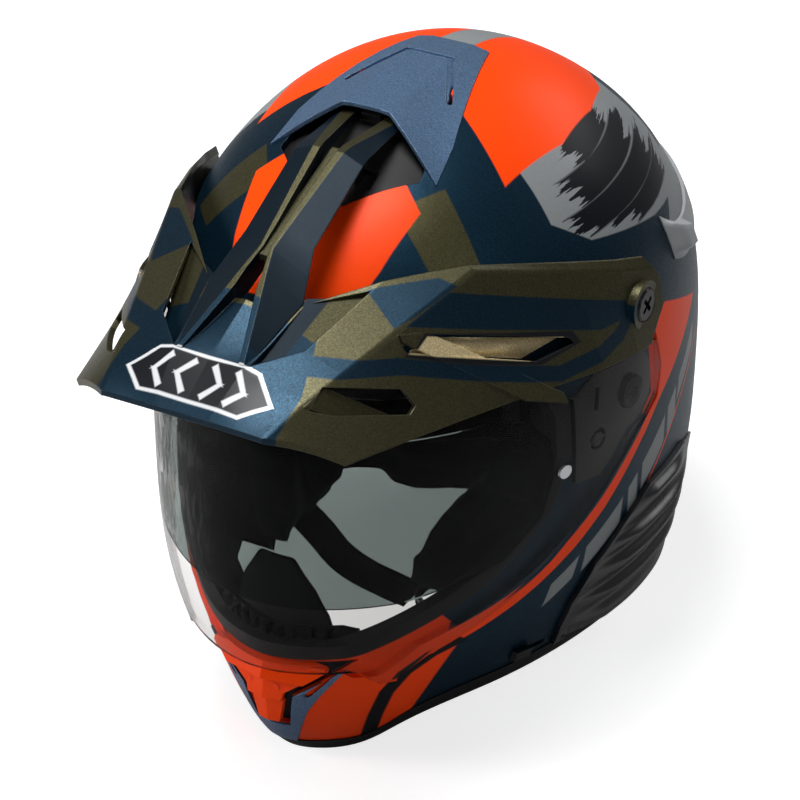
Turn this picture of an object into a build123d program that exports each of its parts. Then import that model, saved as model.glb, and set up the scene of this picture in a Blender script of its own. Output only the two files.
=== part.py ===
# Dual sport motorcycle helmet, size medium, as an assembly of separate pieces.
# Millimetres. The front faces -Y, the wearer's left is +X, up is +Z.
# The helmet stands on the flat parts of its bottom edge, at Z = 0.

import os
from math import cos, hypot, radians, sin, sqrt

from build123d import *

os.makedirs("parts", exist_ok=True)

# Shell
half_width = 119.5
crown_height = 299.5
belt_height = 167.6
belt_middle = 28.6
brow_reach = 155.1
nape_reach = 155.1
crown_rear_draw = 13.0
shell_wall = 3.2
recess_depth = 4.0
trim_height = 9.0
trim_wall = 2.0
trim_proud = 0.8
rim_rise = 30.0
chin_heel = -111.0
nape_heel = 118.0
seat_gap = 0.3

# Below the belt each level is drawn in from the belt: height, sides, nose forward,
# nape forward, and how full the nose is in plan
low_levels = (
    (-8.0, 37.5, -18.5, 65.7, 0.36),
    (8.0, 28.5, -5.5, 55.7, 0.32),
    (30.0, 16.5, 5.0, 40.7, 0.30),
    (60.0, 7.0, 10.0, 20.7, 0.34),
    (90.0, 2.0, 10.5, 7.7, 0.42),
    (125.0, 0.2, 6.5, 1.7, 0.50),
)
crown_angles = (12, 25, 38, 50, 62, 73, 84)
round_hold = 0.5523

# Eye port and its gasket
port_low = 76.0
port_high = 206.0
port_rear = -41.0
gasket_band = 8.0
gasket_proud = 2.1

# Face shield, seen from the side about its pivot, and its levels in plan:
# height, half width over the shell, and reach of its nose from the belt middle
pivot_y = 8.0
pivot_z = 165.6
shield_wall = 2.2
shield_low = 67.0
shield_high = 210.0
shield_heel = 24.0
sweep_high = 238.0
shield_margin = 1.4
shield_levels = (
    (44.0, -8.6, 168.5, 0.44),
    (70.0, -4.0, 173.6, 0.46),
    (100.0, 0.2, 174.0, 0.50),
    (140.0, 1.8, 167.4, 0.54),
    (belt_height, 2.2, 162.3, 0.5523),
    (195.0, 0.0, 155.1, 0.5523),
    (216.0, -5.2, 148.3, 0.5523),
)
tab_drop = 10.0
hub_radius = 8.0
hub_clearance = 0.3
lens_wall = 1.0
lens_low = 104.0
lens_high = 186.0
lens_rear = -46.0
pin_radius = 3.4
pin_wall = 1.0

# Drop-down sun visor
sun_axis_y = 18.0
sun_axis_z = 172.0
sun_radius = 117.0
sun_wall = 2.0
sun_half_width = 95.0
sun_rest_low = 18.0
sun_rest_high = 58.0
sun_swing = 38.0
sun_disc_radius = 9.0
sun_nose_radius = 16.0
sun_pocket_gap = 1.5
lever_y = -50.0
lever_z = 42.0
lever_length = 8.0
lever_height = 6.0
stem_length = 4.0
stem_height = 2.6
lever_travel = 12.0
lever_slot_gap = 0.5

# Peak: four lines from tip to tail, each a run of (y, x, z) points
peak_wall = 2.8
peak_tip = -183.0
peak_stations = (-190, -159.6, -139.3, -119.4, -101.2, -65.1, -20, 5, 34)
crown_line = ((-183, 0, 229), (-158, 0, 243.5), (-127.6, 0, 256), (-60, 0, 284), (40, 0, 310))
shoulder_line = (
    (-183, 14, 229), (-159.6, 18.1, 243.4), (-139.3, 37.3, 246.5),
    (-101.2, 47.4, 257.8), (-60, 58, 271), (40, 86, 290),
)
ridge_line = (
    (-183, 41.4, 228.6), (-65.1, 79.2, 259), (-20, 103, 241), (5, 114, 231), (34, 123, 220),
)
hem_line = (
    (-183, 64, 216), (-161, 71.8, 212.5), (-79, 100, 203),
    (-20, 119, 193.5), (6, 123.5, 189.5), (34, 126, 186),
)
peak_corner = (71.8, -161.0)
ridge_round = 5.0
peak_screw_y = 15.6
peak_screw_z = 209.0
peak_pad_radius = 11.5
peak_head_radius = 8.0
peak_head_wall = 2.6
peak_shank_radius = 2.5
peak_face_x = 121.6
peak_seat_x = 117.4
slot_tilt = 22.0
scoop_wall = 2.0

# Rails of the peak: (y, inner top x, top x, top z, foot x, foot z, underside z)
rail_stations = (
    (-158.0, 14.8, 17.1, 244.2, 18.6, 242.6, 240.0),
    (-127.6, 5.4, 8.4, 262.2, 22.7, 253.4, 252.5),
    (-119.8, 4.2, 6.2, 267.0, 24.3, 256.0, 254.2),
    (-109.5, 1.8, 3.4, 272.8, 21.1, 263.3, 261.3),
    (-98.8, 2.0, 4.2, 277.3, 17.9, 271.0, 268.8),
    (-56.0, 4.2, 8.0, 295.2, 17.9, 290.9, 287.9),
    (-50.0, 4.8, 8.8, 295.8, 17.6, 292.0, 289.4),
    (-23.0, 7.5, 13.9, 294.8, 16.9, 292.8, 291.4),
    (-15.0, 8.2, 14.2, 294.8, 16.7, 293.1, 291.6),
)
rail_wall = 1.9
rib_half = 3.0
rib_wall = 3.0

# Top vent
mouth_y = -23.0
mouth_height = 300.6
mouth_half = 12.6
mouth_tip = (43.7, -36.7)
vent_shoulder = (41.0, -16.5)
plateau_end = 33.0
plateau_half_end = 11.4
vent_tail = (19.0, 56.0)
vent_wall = 2.0
vent_slot = 3.0
vent_step = 1.0
intake_front = -64.0
intake_front_half = 11.0
intake_side_half = 37.0
intake_side_y = -39.0
intake_rear_half = 26.0
intake_rear = 12.0
tray_wall = 2.5
tray_lap = 3.0

# Rear spoiler and side skirts
spoiler_proud = 8.5
skirt_proud = 4.5
skirt_ribs = 7

# Linings
foam_gap = 0.3
foam_side = 33.0
foam_front = 45.0
foam_rear = 42.0
foam_top = 40.0
comfort_wall = 8.0
foam_low = 46.0
chin_foam_wall = 14.0
chin_foam_rear = -52.0
deck_wall = 3.0
cheek_wall = 26.0
neck_wall = 22.0
neck_front = 24.0

# Chin vent, seen from the front
cover_top_half = 33.0
cover_top = 64.6
cover_step_half = 10.0
cover_step = 48.0
cover_end_half = 5.7
cover_end = 28.6
cover_travel = 4.0
cover_gap = 0.5
frame_proud = 1.6
louvre_gap = 4.0
grille_wall = 2.0
grille_lap = 8.0

# Demist strip and breath guard inside the chin
strip_depth = 9.0
strip_wall = 6.0
strip_half = 36.0
strip_height = 9.0
strip_ribs = 9
guard_wall = 1.6

# Webbing and buckle
anchor_x = 74.0
anchor_wall = 2.2
strap_y = 6.0
strap_width = 22.0
strap_wall = 1.8
ring_wire = 3.2
ring_reach = 17.0


def head_form(side=0.0, front=0.0, rear=0.0, top=0.0):
    """The smooth outside shape of the shell, drawn in by these amounts."""
    half, nose = half_width - side, belt_middle - brow_reach + front
    nape = belt_middle + nape_reach - rear
    rise = crown_height - belt_height - top
    levels = [
        (height, half - tuck, nose - ahead, nape - draw, pull, 0.50 if height < 50 else 0.53)
        for height, tuck, ahead, draw, pull in low_levels
    ]
    levels.append((belt_height, half, nose, nape, round_hold, round_hold))
    for angle in crown_angles:
        share, up = cos(radians(angle)), sin(radians(angle))
        drawn = crown_rear_draw * min(1.0, angle / 50)
        levels.append((
            belt_height + rise * up,
            half * share,
            belt_middle - (belt_middle - nose) * share,
            belt_middle + (nape - belt_middle - drawn) * share,
            round_hold,
            round_hold,
        ))
    with BuildPart() as form:
        for level in levels:
            add(plan_section(*level))
        loft()
    return form.part


def plan_section(height, wide, ahead, behind, pull, hold):
    """One level of the head shape: two curves from nose to nape, mirrored."""
    with BuildSketch(Plane.XY.offset(height)) as level:
        with BuildLine():
            Bezier(
                (0, ahead),
                (pull * wide, ahead),
                (wide, belt_middle - hold * (belt_middle - ahead)),
                (wide, belt_middle),
            )
            Bezier(
                (wide, belt_middle),
                (wide, belt_middle + round_hold * (behind - belt_middle)),
                (round_hold * wide, behind),
                (0, behind),
            )
            mirror(about=Plane.YZ)
        make_face()
    return level.sketch


def even_form(inset):
    """The head shape drawn in by the same amount all round."""
    return head_form(inset, inset, inset, inset)


def shield_form(inset):
    """The bowed shape of the face shield, drawn in by inset."""
    with BuildPart() as form:
        for height, over, reach, pull in shield_levels:
            wide = half_width + over - inset
            nose = belt_middle - reach + inset
            add(plan_section(height, wide, nose, belt_middle + 60, pull, 0.54))
        loft()
    return form.part


def skin_height(x, y):
    """Height of the crown surface over a point in plan."""
    reach = brow_reach if y < belt_middle else nape_reach - crown_rear_draw
    inside = 1 - (x / half_width) ** 2 - ((y - belt_middle) / reach) ** 2
    return belt_height + (crown_height - belt_height) * sqrt(inside)


def side_block(outline, grow=0.0, corner=0.0, ends=(-500, 500), reach=200.0, near=None):
    """A block along X from a side view of (y, z) points, grown and rounded."""
    with BuildPart() as block:
        with BuildSketch(Plane.YZ.offset(near or 0.0)) as view:
            with BuildLine():
                Polyline(*outline, close=True)
            make_face()
            if corner:
                fillet(view.vertices().filter_by_position(Axis.X, *ends), corner)
            if grow:
                offset(amount=grow, kind=Kind.ARC)
        extrude(amount=reach, both=near is None)
    return block.part


def plan_block(outline, low, high, corner=0.0, grow=0.0):
    """An upright block from a plan view of (x, y) points."""
    with BuildPart() as block:
        with BuildSketch(Plane.XY.offset(low)) as view:
            with BuildLine():
                Polyline(*outline, close=True)
            make_face()
            if grow:
                offset(amount=grow, kind=Kind.INTERSECTION)
            if corner:
                fillet(view.vertices(), corner)
        extrude(amount=high - low)
    return block.part


def front_block(outline, near=-60.0, reach=120.0, corner=0.0, grow=0.0):
    """A block towards the front from a front view of (x, z) points."""
    with BuildPart() as block:
        with BuildSketch(Plane.XZ.offset(-near)) as view:
            with BuildLine():
                Polyline(*outline, close=True)
            make_face()
            if grow:
                offset(amount=grow, kind=Kind.INTERSECTION)
            if corner:
                fillet(view.vertices(), corner)
        extrude(amount=reach)
    return block.part


def both_sides(points):
    """A plan or front outline made whole from its +X half."""
    return tuple(points) + tuple((-x, v) for x, v in reversed(points) if x > 0)


def below_rim(lift):
    """Everything under the bottom edge of the shell, raised by lift."""
    with BuildPart() as block:
        with BuildSketch(Plane.YZ):
            with BuildLine():
                Line((-200, -60), (-200, lift))
                Line((-200, lift), (chin_heel, lift))
                Spline(
                    (chin_heel, lift),
                    (-95, 0.40 * rim_rise + lift),
                    (-55, 0.86 * rim_rise + lift),
                    (-5, rim_rise + lift),
                    (50, 0.82 * rim_rise + lift),
                    (92, 0.32 * rim_rise + lift),
                    (nape_heel, lift),
                    tangents=((1, 0), (1, 0)),
                )
                Line((nape_heel, lift), (220, lift))
                Line((220, lift), (220, -60))
                Line((220, -60), (-200, -60))
            make_face()
        extrude(amount=200, both=True)
    return block.part


def along(line, y):
    """The (x, z) of a line of (y, x, z) points at y, run on past its ends."""
    for near, far in zip(line, line[1:]):
        if y <= far[0] or far is line[-1]:
            share = (y - near[0]) / (far[0] - near[0])
            return near[1] + share * (far[1] - near[1]), near[2] + share * (far[2] - near[2])


def drawn_in(points, depth):
    """An open outline moved to its inner side by depth, with mitred corners."""
    normals = []
    for (x0, z0), (x1, z1) in zip(points, points[1:]):
        run = hypot(x1 - x0, z1 - z0)
        normals.append(((z1 - z0) / run, (x0 - x1) / run))
    moved = []
    for k, (x, z) in enumerate(points):
        before, after = normals[max(k - 1, 0)], normals[min(k, len(normals) - 1)]
        if k == 0 and x == 0:
            before = (-after[0], after[1])
        scale = depth / (1 + before[0] * after[0] + before[1] * after[1])
        moved.append((x + scale * (before[0] + after[0]), z + scale * (before[1] + after[1])))
    return moved


def save(piece, name):
    """Labels a finished piece and writes its file."""
    piece.part.label = name
    export_step(piece.part, f"parts/{name}.step")


# Shapes that several pieces share
skin = even_form(0)
skin_inside = even_form(shell_wall)
recess_floor = even_form(recess_depth)
recess_back = even_form(recess_depth + shell_wall)
foam_skin = even_form(shell_wall + foam_gap)
gasket_face = even_form(recess_depth - gasket_proud)
rim = below_rim(0)
lining_back = even_form(recess_depth + shell_wall + foam_gap)
rim_top = below_rim(trim_height)

front_end = -190.0
port_outline = (
    (front_end, port_low),
    (-121, port_low),
    (-76, port_low + 29),
    (-50, port_low + 54),
    (port_rear, port_low + 78),
    (port_rear, port_low + 100),
    (-52, port_high - 3),
    (-62, port_high),
    (front_end, port_high),
)
shield_outline = (
    (front_end, shield_low),
    (-126, shield_low),
    (-118, shield_low - tab_drop),
    (-111, shield_low - tab_drop),
    (-100, shield_low + 5),
    (-85, shield_low + 13),
    (-49, shield_low + 33.5),
    (-16, shield_low + 57),
    (15, shield_low + 80),
    (pivot_y + 19, pivot_z - 10),
    (pivot_y + shield_heel, pivot_z + 2),
    (pivot_y + 20, pivot_z + 18),
    (pivot_y - 6, pivot_z + 27),
    (-48, shield_high - 3),
    (-75, shield_high),
    (front_end, shield_high),
)
# The step in the shell takes the shield at rest and, under the peak, its upward sweep
recess_outline = (
    *shield_outline[:8],
    (14, shield_low + 76),
    (pivot_y + 22, pivot_z - 15),
    (pivot_y + shield_heel + 1, pivot_z - 6),
    (pivot_y + shield_heel + 1, pivot_z + 8),
    (pivot_y + 18, pivot_z + 38),
    (pivot_y - 4, sweep_high - 8),
    (pivot_y - 30, sweep_high),
    (pivot_y - 62, sweep_high),
    (pivot_y - 92, shield_high + 12),
    (pivot_y - 100, shield_high),
    (front_end, shield_high),
)
port_block = side_block(port_outline, corner=6, ends=(-140, 300))
port_and_band = side_block(port_outline, gasket_band, 6, (-140, 300))

# The liners give way to the shell where it steps in behind the shield
with BuildPart() as lining_room:
    add(side_block(recess_outline, shield_margin + shell_wall + foam_gap, 2, (-140, 300)))
    add(lining_back, mode=Mode.SUBTRACT)

with BuildPart() as lining_form:
    add(foam_skin)
    add(lining_room.part, mode=Mode.SUBTRACT)

recess_block = side_block(recess_outline, shield_margin, 2, (-140, 300))
recess_wide = side_block(recess_outline, shield_margin + shell_wall, 2, (-140, 300))

cover_outline = both_sides((
    (cover_top_half, cover_top),
    (cover_step_half, cover_step),
    (cover_end_half, cover_end),
))

with BuildPart() as chin_hole:
    add(front_block(cover_outline, grow=louvre_gap - 0.5))
    add(plan_block(((-90, -200), (90, -200), (90, 0), (-90, 0)), cover_top + 0.6, 330), mode=Mode.SUBTRACT)

intake_outline = both_sides((
    (intake_front_half, intake_front),
    (intake_side_half, intake_side_y),
    (intake_rear_half, intake_rear),
))
intake_hole = plan_block(intake_outline, 240, 320, corner=3)
exhaust_y = 168.0
exhaust_z = 216.0
exhaust_size = (44.0, 40.0, 9.0)

# Outer shell: a moulded composite skin with a stepped recess for the shield
with BuildPart() as recess_wall:
    add(skin)
    add(recess_back, mode=Mode.SUBTRACT)
    add(recess_wide, mode=Mode.INTERSECT)

with BuildPart() as recess_cutter:
    add(recess_block)
    add(recess_floor, mode=Mode.SUBTRACT)

with BuildPart() as outer_shell:
    add(skin)
    add(skin_inside, mode=Mode.SUBTRACT)
    add(recess_wall.part)
    add(recess_cutter.part, mode=Mode.SUBTRACT)
    add(port_and_band, mode=Mode.SUBTRACT)
    add(rim_top, mode=Mode.SUBTRACT)
    add(chin_hole.part, mode=Mode.SUBTRACT)
    add(intake_hole, mode=Mode.SUBTRACT)
    with Locations((0, exhaust_y, exhaust_z)):
        Box(*exhaust_size, mode=Mode.SUBTRACT)
    # the slot of the sun visor's lever, low on the wearer's left
    slot_length = stem_length + lever_travel + 2 * lever_slot_gap
    slot_middle = lever_y - stem_length / 2 - lever_slot_gap + slot_length / 2
    with Locations((50 + half_width / 2, slot_middle, lever_z)):
        Box(100, slot_length, stem_height + 2 * lever_slot_gap, mode=Mode.SUBTRACT)
save(outer_shell, "outer_shell")

# Rubber edging round the bottom of the shell
with BuildPart() as base_trim:
    add(even_form(-trim_proud))
    add(even_form(shell_wall + trim_wall), mode=Mode.SUBTRACT)
    add(rim_top, mode=Mode.INTERSECT)
    add(rim, mode=Mode.SUBTRACT)
save(base_trim, "base_trim")

# Rubber gasket round the eye port
with BuildPart() as eyeport_gasket:
    add(gasket_face)
    add(recess_back, mode=Mode.SUBTRACT)
    add(port_and_band, mode=Mode.INTERSECT)
    add(port_block, mode=Mode.SUBTRACT)
save(eyeport_gasket, "eyeport_gasket")

# Sun visor shapes, used for the visor and for its pocket in the liner
def sun_plane(angle):
    """The plane through the visor's axis at this angle above the forward level."""
    return Plane(
        origin=(0, sun_axis_y, sun_axis_z),
        x_dir=(1, 0, 0),
        z_dir=(0, -sin(radians(angle)), -cos(radians(angle))),
    )


def sun_band(low, high, spare=0.0):
    """The visor's curved wall between two angles, with spare room all round."""
    half, radius = sun_half_width + spare, sun_radius + spare
    inner_half = sun_half_width - sun_wall - spare
    inner_radius = sun_radius - sun_wall - spare
    with BuildPart() as band:
        with BuildSketch(sun_plane(low)):
            with BuildLine():
                EllipticalCenterArc((0, 0), half, radius, 0, arc_size=180)
                Line((-half, 0), (-inner_half, 0))
                EllipticalCenterArc((0, 0), inner_half, inner_radius, 0, arc_size=180)
                Line((inner_half, 0), (half, 0))
            make_face()
        revolve(
            axis=Axis((0, sun_axis_y, sun_axis_z), (-1, 0, 0)),
            revolution_arc=high - low,
        )
        for side in (-1, 1):
            with BuildSketch(Plane.YZ.offset(side * (sun_half_width + spare))):
                with Locations((sun_axis_y, sun_axis_z)):
                    Circle(sun_disc_radius + spare)
            extrude(amount=-side * (sun_wall + 2 * spare))
    return band.part


# Impact liner of the shell, with a pocket for the sun visor and room for the vent tray
head_inside = head_form(foam_side, foam_front, foam_rear, foam_top)
tray_back = even_form(shell_wall + 2 * foam_gap + tray_wall)
tray_room = plan_block(intake_outline, 240, 320, grow=tray_lap + foam_gap)
below_liner = plan_block(((-200, -200), (200, -200), (200, 250), (-200, 250)), -60, foam_low)
cheek_gap = side_block((
    (-190, -20), (-190, port_low + 20), (-60, port_low + 60), (port_rear - 3, 128),
    (port_rear + 3, foam_low), (port_rear + 3, -20),
))

with BuildPart() as eps_liner:
    add(lining_form.part)
    add(head_inside, mode=Mode.SUBTRACT)
    add(below_liner, mode=Mode.SUBTRACT)
    add(port_and_band, mode=Mode.SUBTRACT)
    add(cheek_gap, mode=Mode.SUBTRACT)
    add(sun_band(sun_rest_low - sun_swing - 6, sun_rest_high + 2, sun_pocket_gap), mode=Mode.SUBTRACT)
    with BuildPart(mode=Mode.PRIVATE) as vent_room:
        add(tray_room)
        add(tray_back, mode=Mode.SUBTRACT)
    add(vent_room.part, mode=Mode.SUBTRACT)
    add(rim_top, mode=Mode.SUBTRACT)
save(eps_liner, "eps_liner")

# Drop-down sun visor
with BuildPart() as sun_visor:
    add(sun_band(sun_rest_low, sun_rest_high))
    with BuildSketch(sun_plane(sun_rest_low)):
        with Locations((0, sun_radius)):
            Circle(sun_nose_radius)
    extrude(amount=sun_nose_radius, both=True, mode=Mode.SUBTRACT)
save(sun_visor, "sun_visor")

# Chin liner, its top deck and the cheek pads
chin_inside = even_form(shell_wall + foam_gap + chin_foam_wall)
grille_back = even_form(shell_wall + 2 * foam_gap + grille_wall)
behind_chin = plan_block(
    ((-200, chin_foam_rear), (200, chin_foam_rear), (200, 250), (-200, 250)), -60, 330)
deck_top = port_low - gasket_band + 2.0
above_chin = plan_block(((-200, -200), (200, -200), (200, 250), (-200, 250)),
                        deck_top - deck_wall, 330)
with BuildPart() as chin_liner:
    add(lining_form.part)
    add(chin_inside, mode=Mode.SUBTRACT)
    add(behind_chin, mode=Mode.SUBTRACT)
    add(above_chin, mode=Mode.SUBTRACT)
    add(rim_top, mode=Mode.SUBTRACT)
    with BuildPart(mode=Mode.PRIVATE) as grille_room:
        add(front_block(cover_outline, grow=grille_lap + foam_gap))
        add(grille_back, mode=Mode.SUBTRACT)
    add(grille_room.part, mode=Mode.SUBTRACT)
save(chin_liner, "chin_liner")

with BuildPart() as chin_deck:
    add(even_form(recess_depth + shell_wall + seat_gap))
    add(even_form(shell_wall + chin_foam_wall + 3), mode=Mode.SUBTRACT)
    add(plan_block(((-200, -200), (200, -200), (200, chin_foam_rear - 6), (-200, chin_foam_rear - 6)),
                   deck_top - deck_wall, deck_top), mode=Mode.INTERSECT)
save(chin_deck, "chin_deck")


def cheek_pad(side):
    """A padded block between the cheek and the shell, cut to the head inside."""
    with BuildPart() as pad:
        add(head_form(foam_side + seat_gap, foam_front + seat_gap, foam_rear + seat_gap, foam_top))
        add(head_form(foam_side + cheek_wall, 56, 60, 60), mode=Mode.SUBTRACT)
        with BuildSketch(Plane.YZ) as view:
            with BuildLine():
                Polyline(
                    (-60, 68), (-44, 60), (-8, 48), (30, 46), (48, 72), (44, 108),
                    (4, 126), (-30, 124), (-50, 106), (-62, 86), close=True)
            make_face()
            fillet(view.vertices(), 9)
        extrude(amount=side * 200, mode=Mode.INTERSECT)
    return pad.part


with BuildPart() as cheek_pad_left:
    add(cheek_pad(1))
save(cheek_pad_left, "cheek_pad_left")

with BuildPart() as cheek_pad_right:
    add(cheek_pad(-1))
save(cheek_pad_right, "cheek_pad_right")

# Comfort lining of the crown and the roll round the neck
with BuildPart() as crown_pad:
    add(head_form(foam_side + seat_gap, foam_front + seat_gap, foam_rear + seat_gap,
                  foam_top + seat_gap))
    add(head_form(foam_side + comfort_wall, foam_front + comfort_wall, foam_rear + comfort_wall,
                  foam_top + comfort_wall), mode=Mode.SUBTRACT)
    add(plan_block(((-200, -200), (200, -200), (200, 250), (-200, 250)), 176, 330),
        mode=Mode.INTERSECT)
save(crown_pad, "crown_pad")

with BuildPart() as neck_roll:
    add(even_form(shell_wall + trim_wall + 0.4))
    add(even_form(neck_wall), mode=Mode.SUBTRACT)
    add(plan_block(((-200, neck_front), (200, neck_front), (200, 250), (-200, 250)), 0, foam_low - seat_gap),
        mode=Mode.INTERSECT)
    add(below_rim(trim_height + 2), mode=Mode.SUBTRACT)
save(neck_roll, "neck_roll")

# Peak: a moulded sun peak over the brow, carried by two side screws and two rails
def peak_section(y):
    """Half of the peak across its length at y: top, shoulder, ridge and hem."""
    outer = [along(line, y) for line in (crown_line, shoulder_line, ridge_line, hem_line)]
    inner = drawn_in(outer, peak_wall)
    with BuildSketch(Plane.XZ.offset(-y)) as view:
        with BuildLine():
            Polyline(*outer, *reversed(inner), close=True)
        make_face()
        for (x, z), radius in ((outer[2], ridge_round), (inner[2], ridge_round - peak_wall)):
            fillet(view.vertices().sort_by_distance((x, z, 0))[:1], radius)
    return view.sketch


def rail_section(station, wall=0.0):
    """One rail across its length, or its hollow when a wall is given."""
    y, near, top, high, foot, low, under = station
    outline = ((near, high), (top, high), (foot, low), (foot - 1.2, under), (near, under))
    if wall:
        near, foot = near + wall, foot - 1.6 * wall
        outline = (
            (near, under - 1), (near, high - 1.6 * wall), (foot, low - 1.1 * wall), (foot, under - 1))
    with BuildSketch(Plane.XZ.offset(-y)) as view:
        with BuildLine():
            Polyline(*outline, close=True)
        make_face()
    return view.sketch


def side_slot(start, outline, depth=12.0):
    """A slot cut in the side face of the peak from (along edge, down) points."""
    with BuildPart() as cutter:
        with BuildSketch(slot_plane(start)):
            with BuildLine():
                Polyline(*((e, -d) for e, d in outline), close=True)
            make_face()
        extrude(amount=depth, both=True)
    return cutter.part


def slot_vane(start, outline):
    """The vane that leads air in through a side slot, hung from its upper edge."""
    with BuildPart() as vane:
        with BuildSketch(slot_plane(start).rotated((-slot_tilt, 0, 0))) as face:
            with BuildLine():
                Polyline(*((e, -d) for e, d in outline), close=True)
            make_face()
            offset(amount=0.8, kind=Kind.INTERSECTION)
        extrude(amount=-scoop_wall)
    return vane.part


def slot_plane(start):
    """The plane of the side face with its X along the upper edge of a slot."""
    corner = Vector(ridge_line[0][1], ridge_line[0][0], ridge_line[0][2])
    face = Plane(origin=corner, x_dir=(0.296, 0.923, 0.246), z_dir=(0.835, -0.375, 0.403))
    edge = face.from_local_coords(Vector(start[0], start[1], 0))
    ahead = face.from_local_coords(Vector(start[0] + slot_run[0], start[1] + slot_run[1], 0))
    return Plane(origin=edge, x_dir=ahead - edge, z_dir=face.z_dir)


slot_run = (0.806, -0.592)
upper_slot = ((-12.5, 5.8), (0, 0), (78.4, 0), (81.5, 2.3), (59.7, 10.9), (-10.5, 8.3))
upper_vane = ((-12.5, 5.8), (0, 0), (78.4, 0), (81.0, 2.3), (59.7, 9.0), (-11.0, 7.4))
lower_slot = ((-5.2, 3.1), (2, -7), (40, -7), (46.2, 0), (43, 3.9), (4.4, 5))
lower_vane = ((-5.2, 3.1), (2, -7), (40, -7), (46.2, 0), (43, 1.5), (0, 3))

with BuildPart() as peak_half:
    for y in peak_stations:
        add(peak_section(y))
    loft(ruled=True)
    # front corner, then the open top behind the hood
    corner_x, corner_y = peak_corner
    nose_x = ridge_line[0][1]
    run_out = (corner_y - peak_tip) / (corner_x - nose_x)
    front_cut = plan_block(
        ((-1, -260), (200, -260), (200, corner_y + run_out * (200 - corner_x)),
         (corner_x, corner_y), (nose_x, peak_tip), (-1, peak_tip)), 150, 330)
    add(front_cut, mode=Mode.SUBTRACT)
    lip = peak_wall + 0.6
    wing_edge = [(along(ridge_line, y)[0] - lip, y) for y in (-65.1, -20, 5, 34)]
    open_top = plan_block(
        ((-1, rail_stations[1][0]), (8, rail_stations[1][0]), (24.6, rail_stations[2][0]),
         *wing_edge, (along(ridge_line, 34)[0], 70), (-1, 70)), 190, 330)
    add(open_top, mode=Mode.SUBTRACT)
    wing_end = side_block(
        ((-260, 120), (-260, 360), (peak_screw_y - 1, 360), (peak_screw_y + 1, 240),
         (peak_screw_y + peak_pad_radius + 2, peak_screw_z + 8),
         (peak_screw_y + peak_pad_radius + 2, peak_screw_z - 7), (peak_screw_y - 9, 178)),
        corner=5, ends=(peak_screw_y + 5, 200))
    add(wing_end, mode=Mode.INTERSECT)
    # scoops between the hood and the rails
    scoop = plan_block(((19.5, -157), (36.8, -139.5), (47, -100), (25, -119)), 200, 300)
    add(scoop, mode=Mode.SUBTRACT)
    add(side_slot((91.6, -10), upper_slot), mode=Mode.SUBTRACT)
    add(side_slot((30.7, -3.9), lower_slot), mode=Mode.SUBTRACT)

hood_floor = Plane(
    origin=(24.6, -119.4, 255.5),
    x_dir=(22.8, 22.4, 1.0),
    z_dir=(374.6, -415.8, 773.0),
)
with BuildPart() as scoop_floor:
    with BuildSketch(hood_floor):
        Rectangle(140, 140)
    extrude(amount=-scoop_wall)
    add(plan_block(((16.5, -158.5), (37.3, -141), (49, -99), (24, -117)), 200, 300),
        mode=Mode.INTERSECT)

with BuildPart() as scoop_side:
    for y, near, low, high in ((-158.0, 15.6, 236.5, 242.8), (-119.4, 21.8, 253.0, 255.6)):
        with BuildSketch(Plane.XZ.offset(-y)):
            with Locations((near + 1.2, (low + high) / 2)):
                Rectangle(2.4, high - low)
    loft(ruled=True)

with BuildPart() as rail:
    for station in rail_stations:
        add(rail_section(station))
    loft(ruled=True)

with BuildPart() as rail_hollow:
    for station in rail_stations[2:7]:
        add(rail_section(station, rail_wall))
    loft(ruled=True)

with BuildPart() as peak:
    add(peak_half.part)
    add(scoop_floor.part)
    add(scoop_side.part)
    add(slot_vane((91.6, -10), upper_vane))
    add(slot_vane((30.7, -3.9), lower_vane))
    add(rail.part)
    add(rail_hollow.part, mode=Mode.SUBTRACT)
    pad_length = peak_face_x - peak_seat_x
    with BuildSketch(Plane.YZ.offset(peak_seat_x - 14)):
        with Locations((peak_screw_y, peak_screw_z)):
            Circle(peak_pad_radius - 2 + seat_gap)
    extrude(amount=14, mode=Mode.SUBTRACT)
    with BuildSketch(Plane.YZ.offset(peak_seat_x)):
        with Locations((peak_screw_y, peak_screw_z)):
            Circle(peak_pad_radius)
    extrude(amount=pad_length)
    with BuildSketch(Plane.YZ.offset(peak_face_x - peak_head_wall)):
        with Locations((peak_screw_y, peak_screw_z)):
            Circle(peak_head_radius + seat_gap)
    extrude(amount=20, mode=Mode.SUBTRACT)
    with BuildSketch(Plane.YZ.offset(peak_seat_x - 10)):
        with Locations((peak_screw_y, peak_screw_z)):
            Circle(peak_shank_radius + seat_gap)
    extrude(amount=40, mode=Mode.SUBTRACT)
    mirror(about=Plane.YZ)
    # centre rib between the rails, ending in a square face
    with BuildSketch(Plane.YZ):
        with BuildLine():
            Polyline(
                (-112, 270.2), (-48, 291.7), (-48.6, 291.7 - rib_wall),
                (-112, 270.2 - rib_wall), close=True)
        make_face()
    extrude(amount=rib_half, both=True)
save(peak, "peak")


def peak_boss(side):
    """The spacer between the shell and the end of the peak, round its screw."""
    with BuildPart() as boss:
        with BuildSketch(Plane.YZ.offset(peak_seat_x - 12)):
            with Locations((peak_screw_y, peak_screw_z)):
                Circle(peak_pad_radius - 2)
                Circle(peak_shank_radius + seat_gap, mode=Mode.SUBTRACT)
        extrude(amount=12)
        add(skin, mode=Mode.SUBTRACT)
    return boss.part if side > 0 else mirror(boss.part, about=Plane.YZ)


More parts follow.
